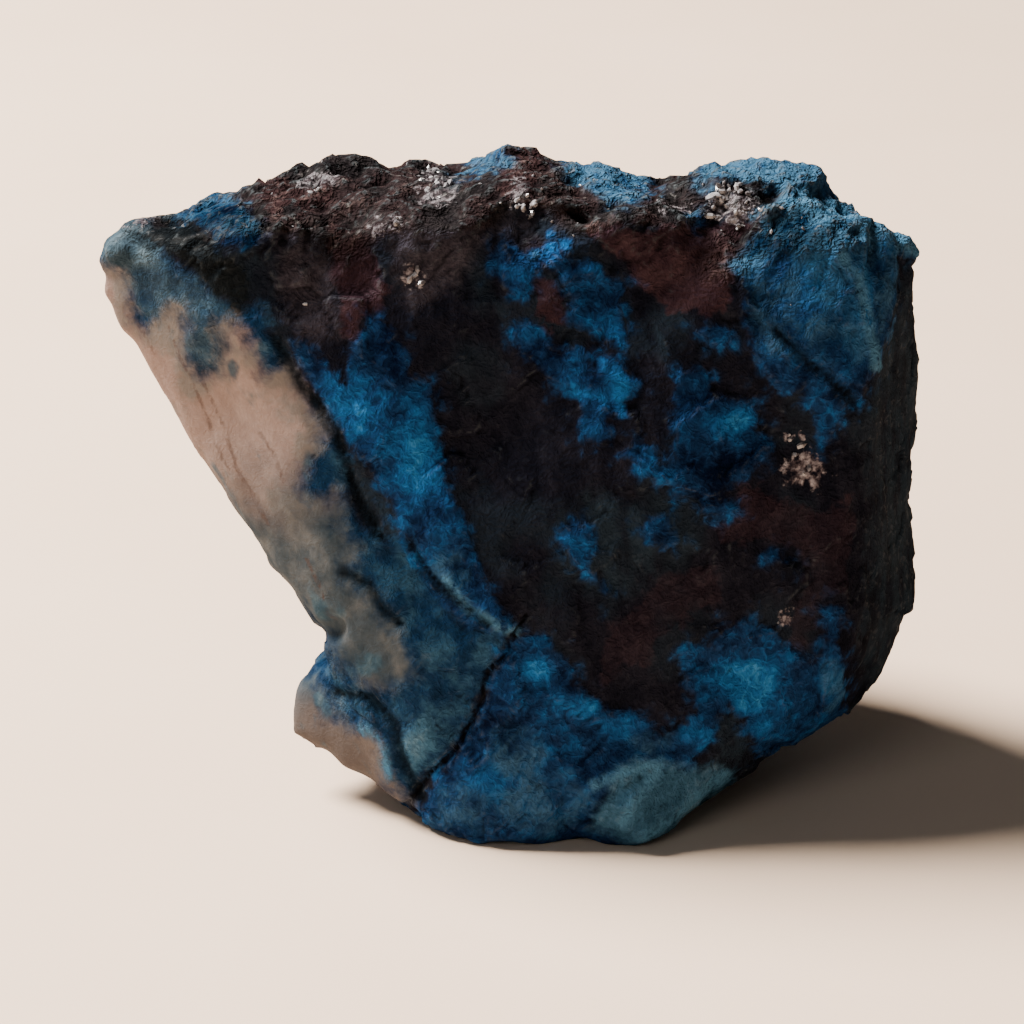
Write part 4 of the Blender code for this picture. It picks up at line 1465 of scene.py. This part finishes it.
print("nodes in the tree:", len(growth.nodes))

# %% Grow the druse
DRUSE_TONES = [(0.35, (0.09, 0.080, 0.084)), (0.62, (0.38, 0.368, 0.385))]

glass, net, place = new_material("milky quartz")
shade = tones(net.cloud(place, 0.8), DRUSE_TONES)
surface = net.add("ShaderNodeBsdfPrincipled", None, {"Base Color": shade, "Roughness": 0.16})
net.add("ShaderNodeOutputMaterial", None, {"Surface": surface})

run_tree(druse, growth, growth_handles, CRYSTAL, glass)
print("triangles of druse:", sum(len(p.vertices) - 2 for p in druse.data.polygons))

# %% [markdown]
# ## Floor and light
#
# A plain pale floor, a large soft lamp above and behind the left shoulder, which lights the crest
# and leaves the broad face in shade, and a weak one near the eye that keeps the dark minerals
# legible.

# %% Floor
HALF_FLOOR = 3.0
FLOOR_TONES = [(0.3, (0.78, 0.58, 0.43)), (0.7, (0.83, 0.635, 0.485))]

floor_mesh = bpy.data.meshes.new("floor")
corners = [(x * HALF_FLOOR, y * HALF_FLOOR, 0.0) for x, y in ((-1, -1), (1, -1), (1, 1), (-1, 1))]
floor_mesh.from_pydata(corners, [], [(0, 1, 2, 3)])
floor = bpy.data.objects.new("floor", floor_mesh)
bpy.context.scene.collection.objects.link(floor)
plaster, net, place = new_material("pale floor")
shade = tones(net.cloud(place, 60.0, detail=4.0), FLOOR_TONES)
surface = net.add("ShaderNodeBsdfPrincipled", None, {"Base Color": shade, "Roughness": 0.45})
net.add("ShaderNodeOutputMaterial", None, {"Surface": surface})
floor_mesh.materials.append(plaster)
print("floor of", 2.0 * HALF_FLOOR, "m")

# %% Lamps
# Each lamp: where it hangs and how wide it is in metres, its power in watts, and its colour.
LAMPS = {
    "key": ((-0.32, 0.14, 0.46), 0.26, 18.5, (1.0, 0.94, 0.87)),
    "front fill": ((-0.24, -0.40, 0.30), 0.30, 0.4, (0.92, 0.96, 1.0)),
}
ROOM_LIGHT = (0.93, 0.92, 0.90, 1.0)
ROOM_STRENGTH = 0.06

for name, (spot, width, power, colour) in LAMPS.items():
    lamp = bpy.data.lights.new(name, "AREA")
    lamp.shape = "DISK"
    lamp.size = width
    lamp.energy = power
    lamp.color = colour
    holder = bpy.data.objects.new(name, lamp)
    holder.location = spot
    holder.rotation_euler = (AIM - Vector(spot)).to_track_quat("-Z", "Y").to_euler()
    bpy.context.scene.collection.objects.link(holder)
world = bpy.data.worlds.new("soft room")
world.use_nodes = True
background = world.node_tree.nodes["Background"].inputs
background["Color"].default_value = ROOM_LIGHT
background["Strength"].default_value = ROOM_STRENGTH
bpy.context.scene.world = world
print("lamps:", ", ".join(LAMPS))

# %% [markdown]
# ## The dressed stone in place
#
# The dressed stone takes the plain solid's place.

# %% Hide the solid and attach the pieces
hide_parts("shattuckite_stone")
for piece in (stone, druse):
    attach(piece, "root")
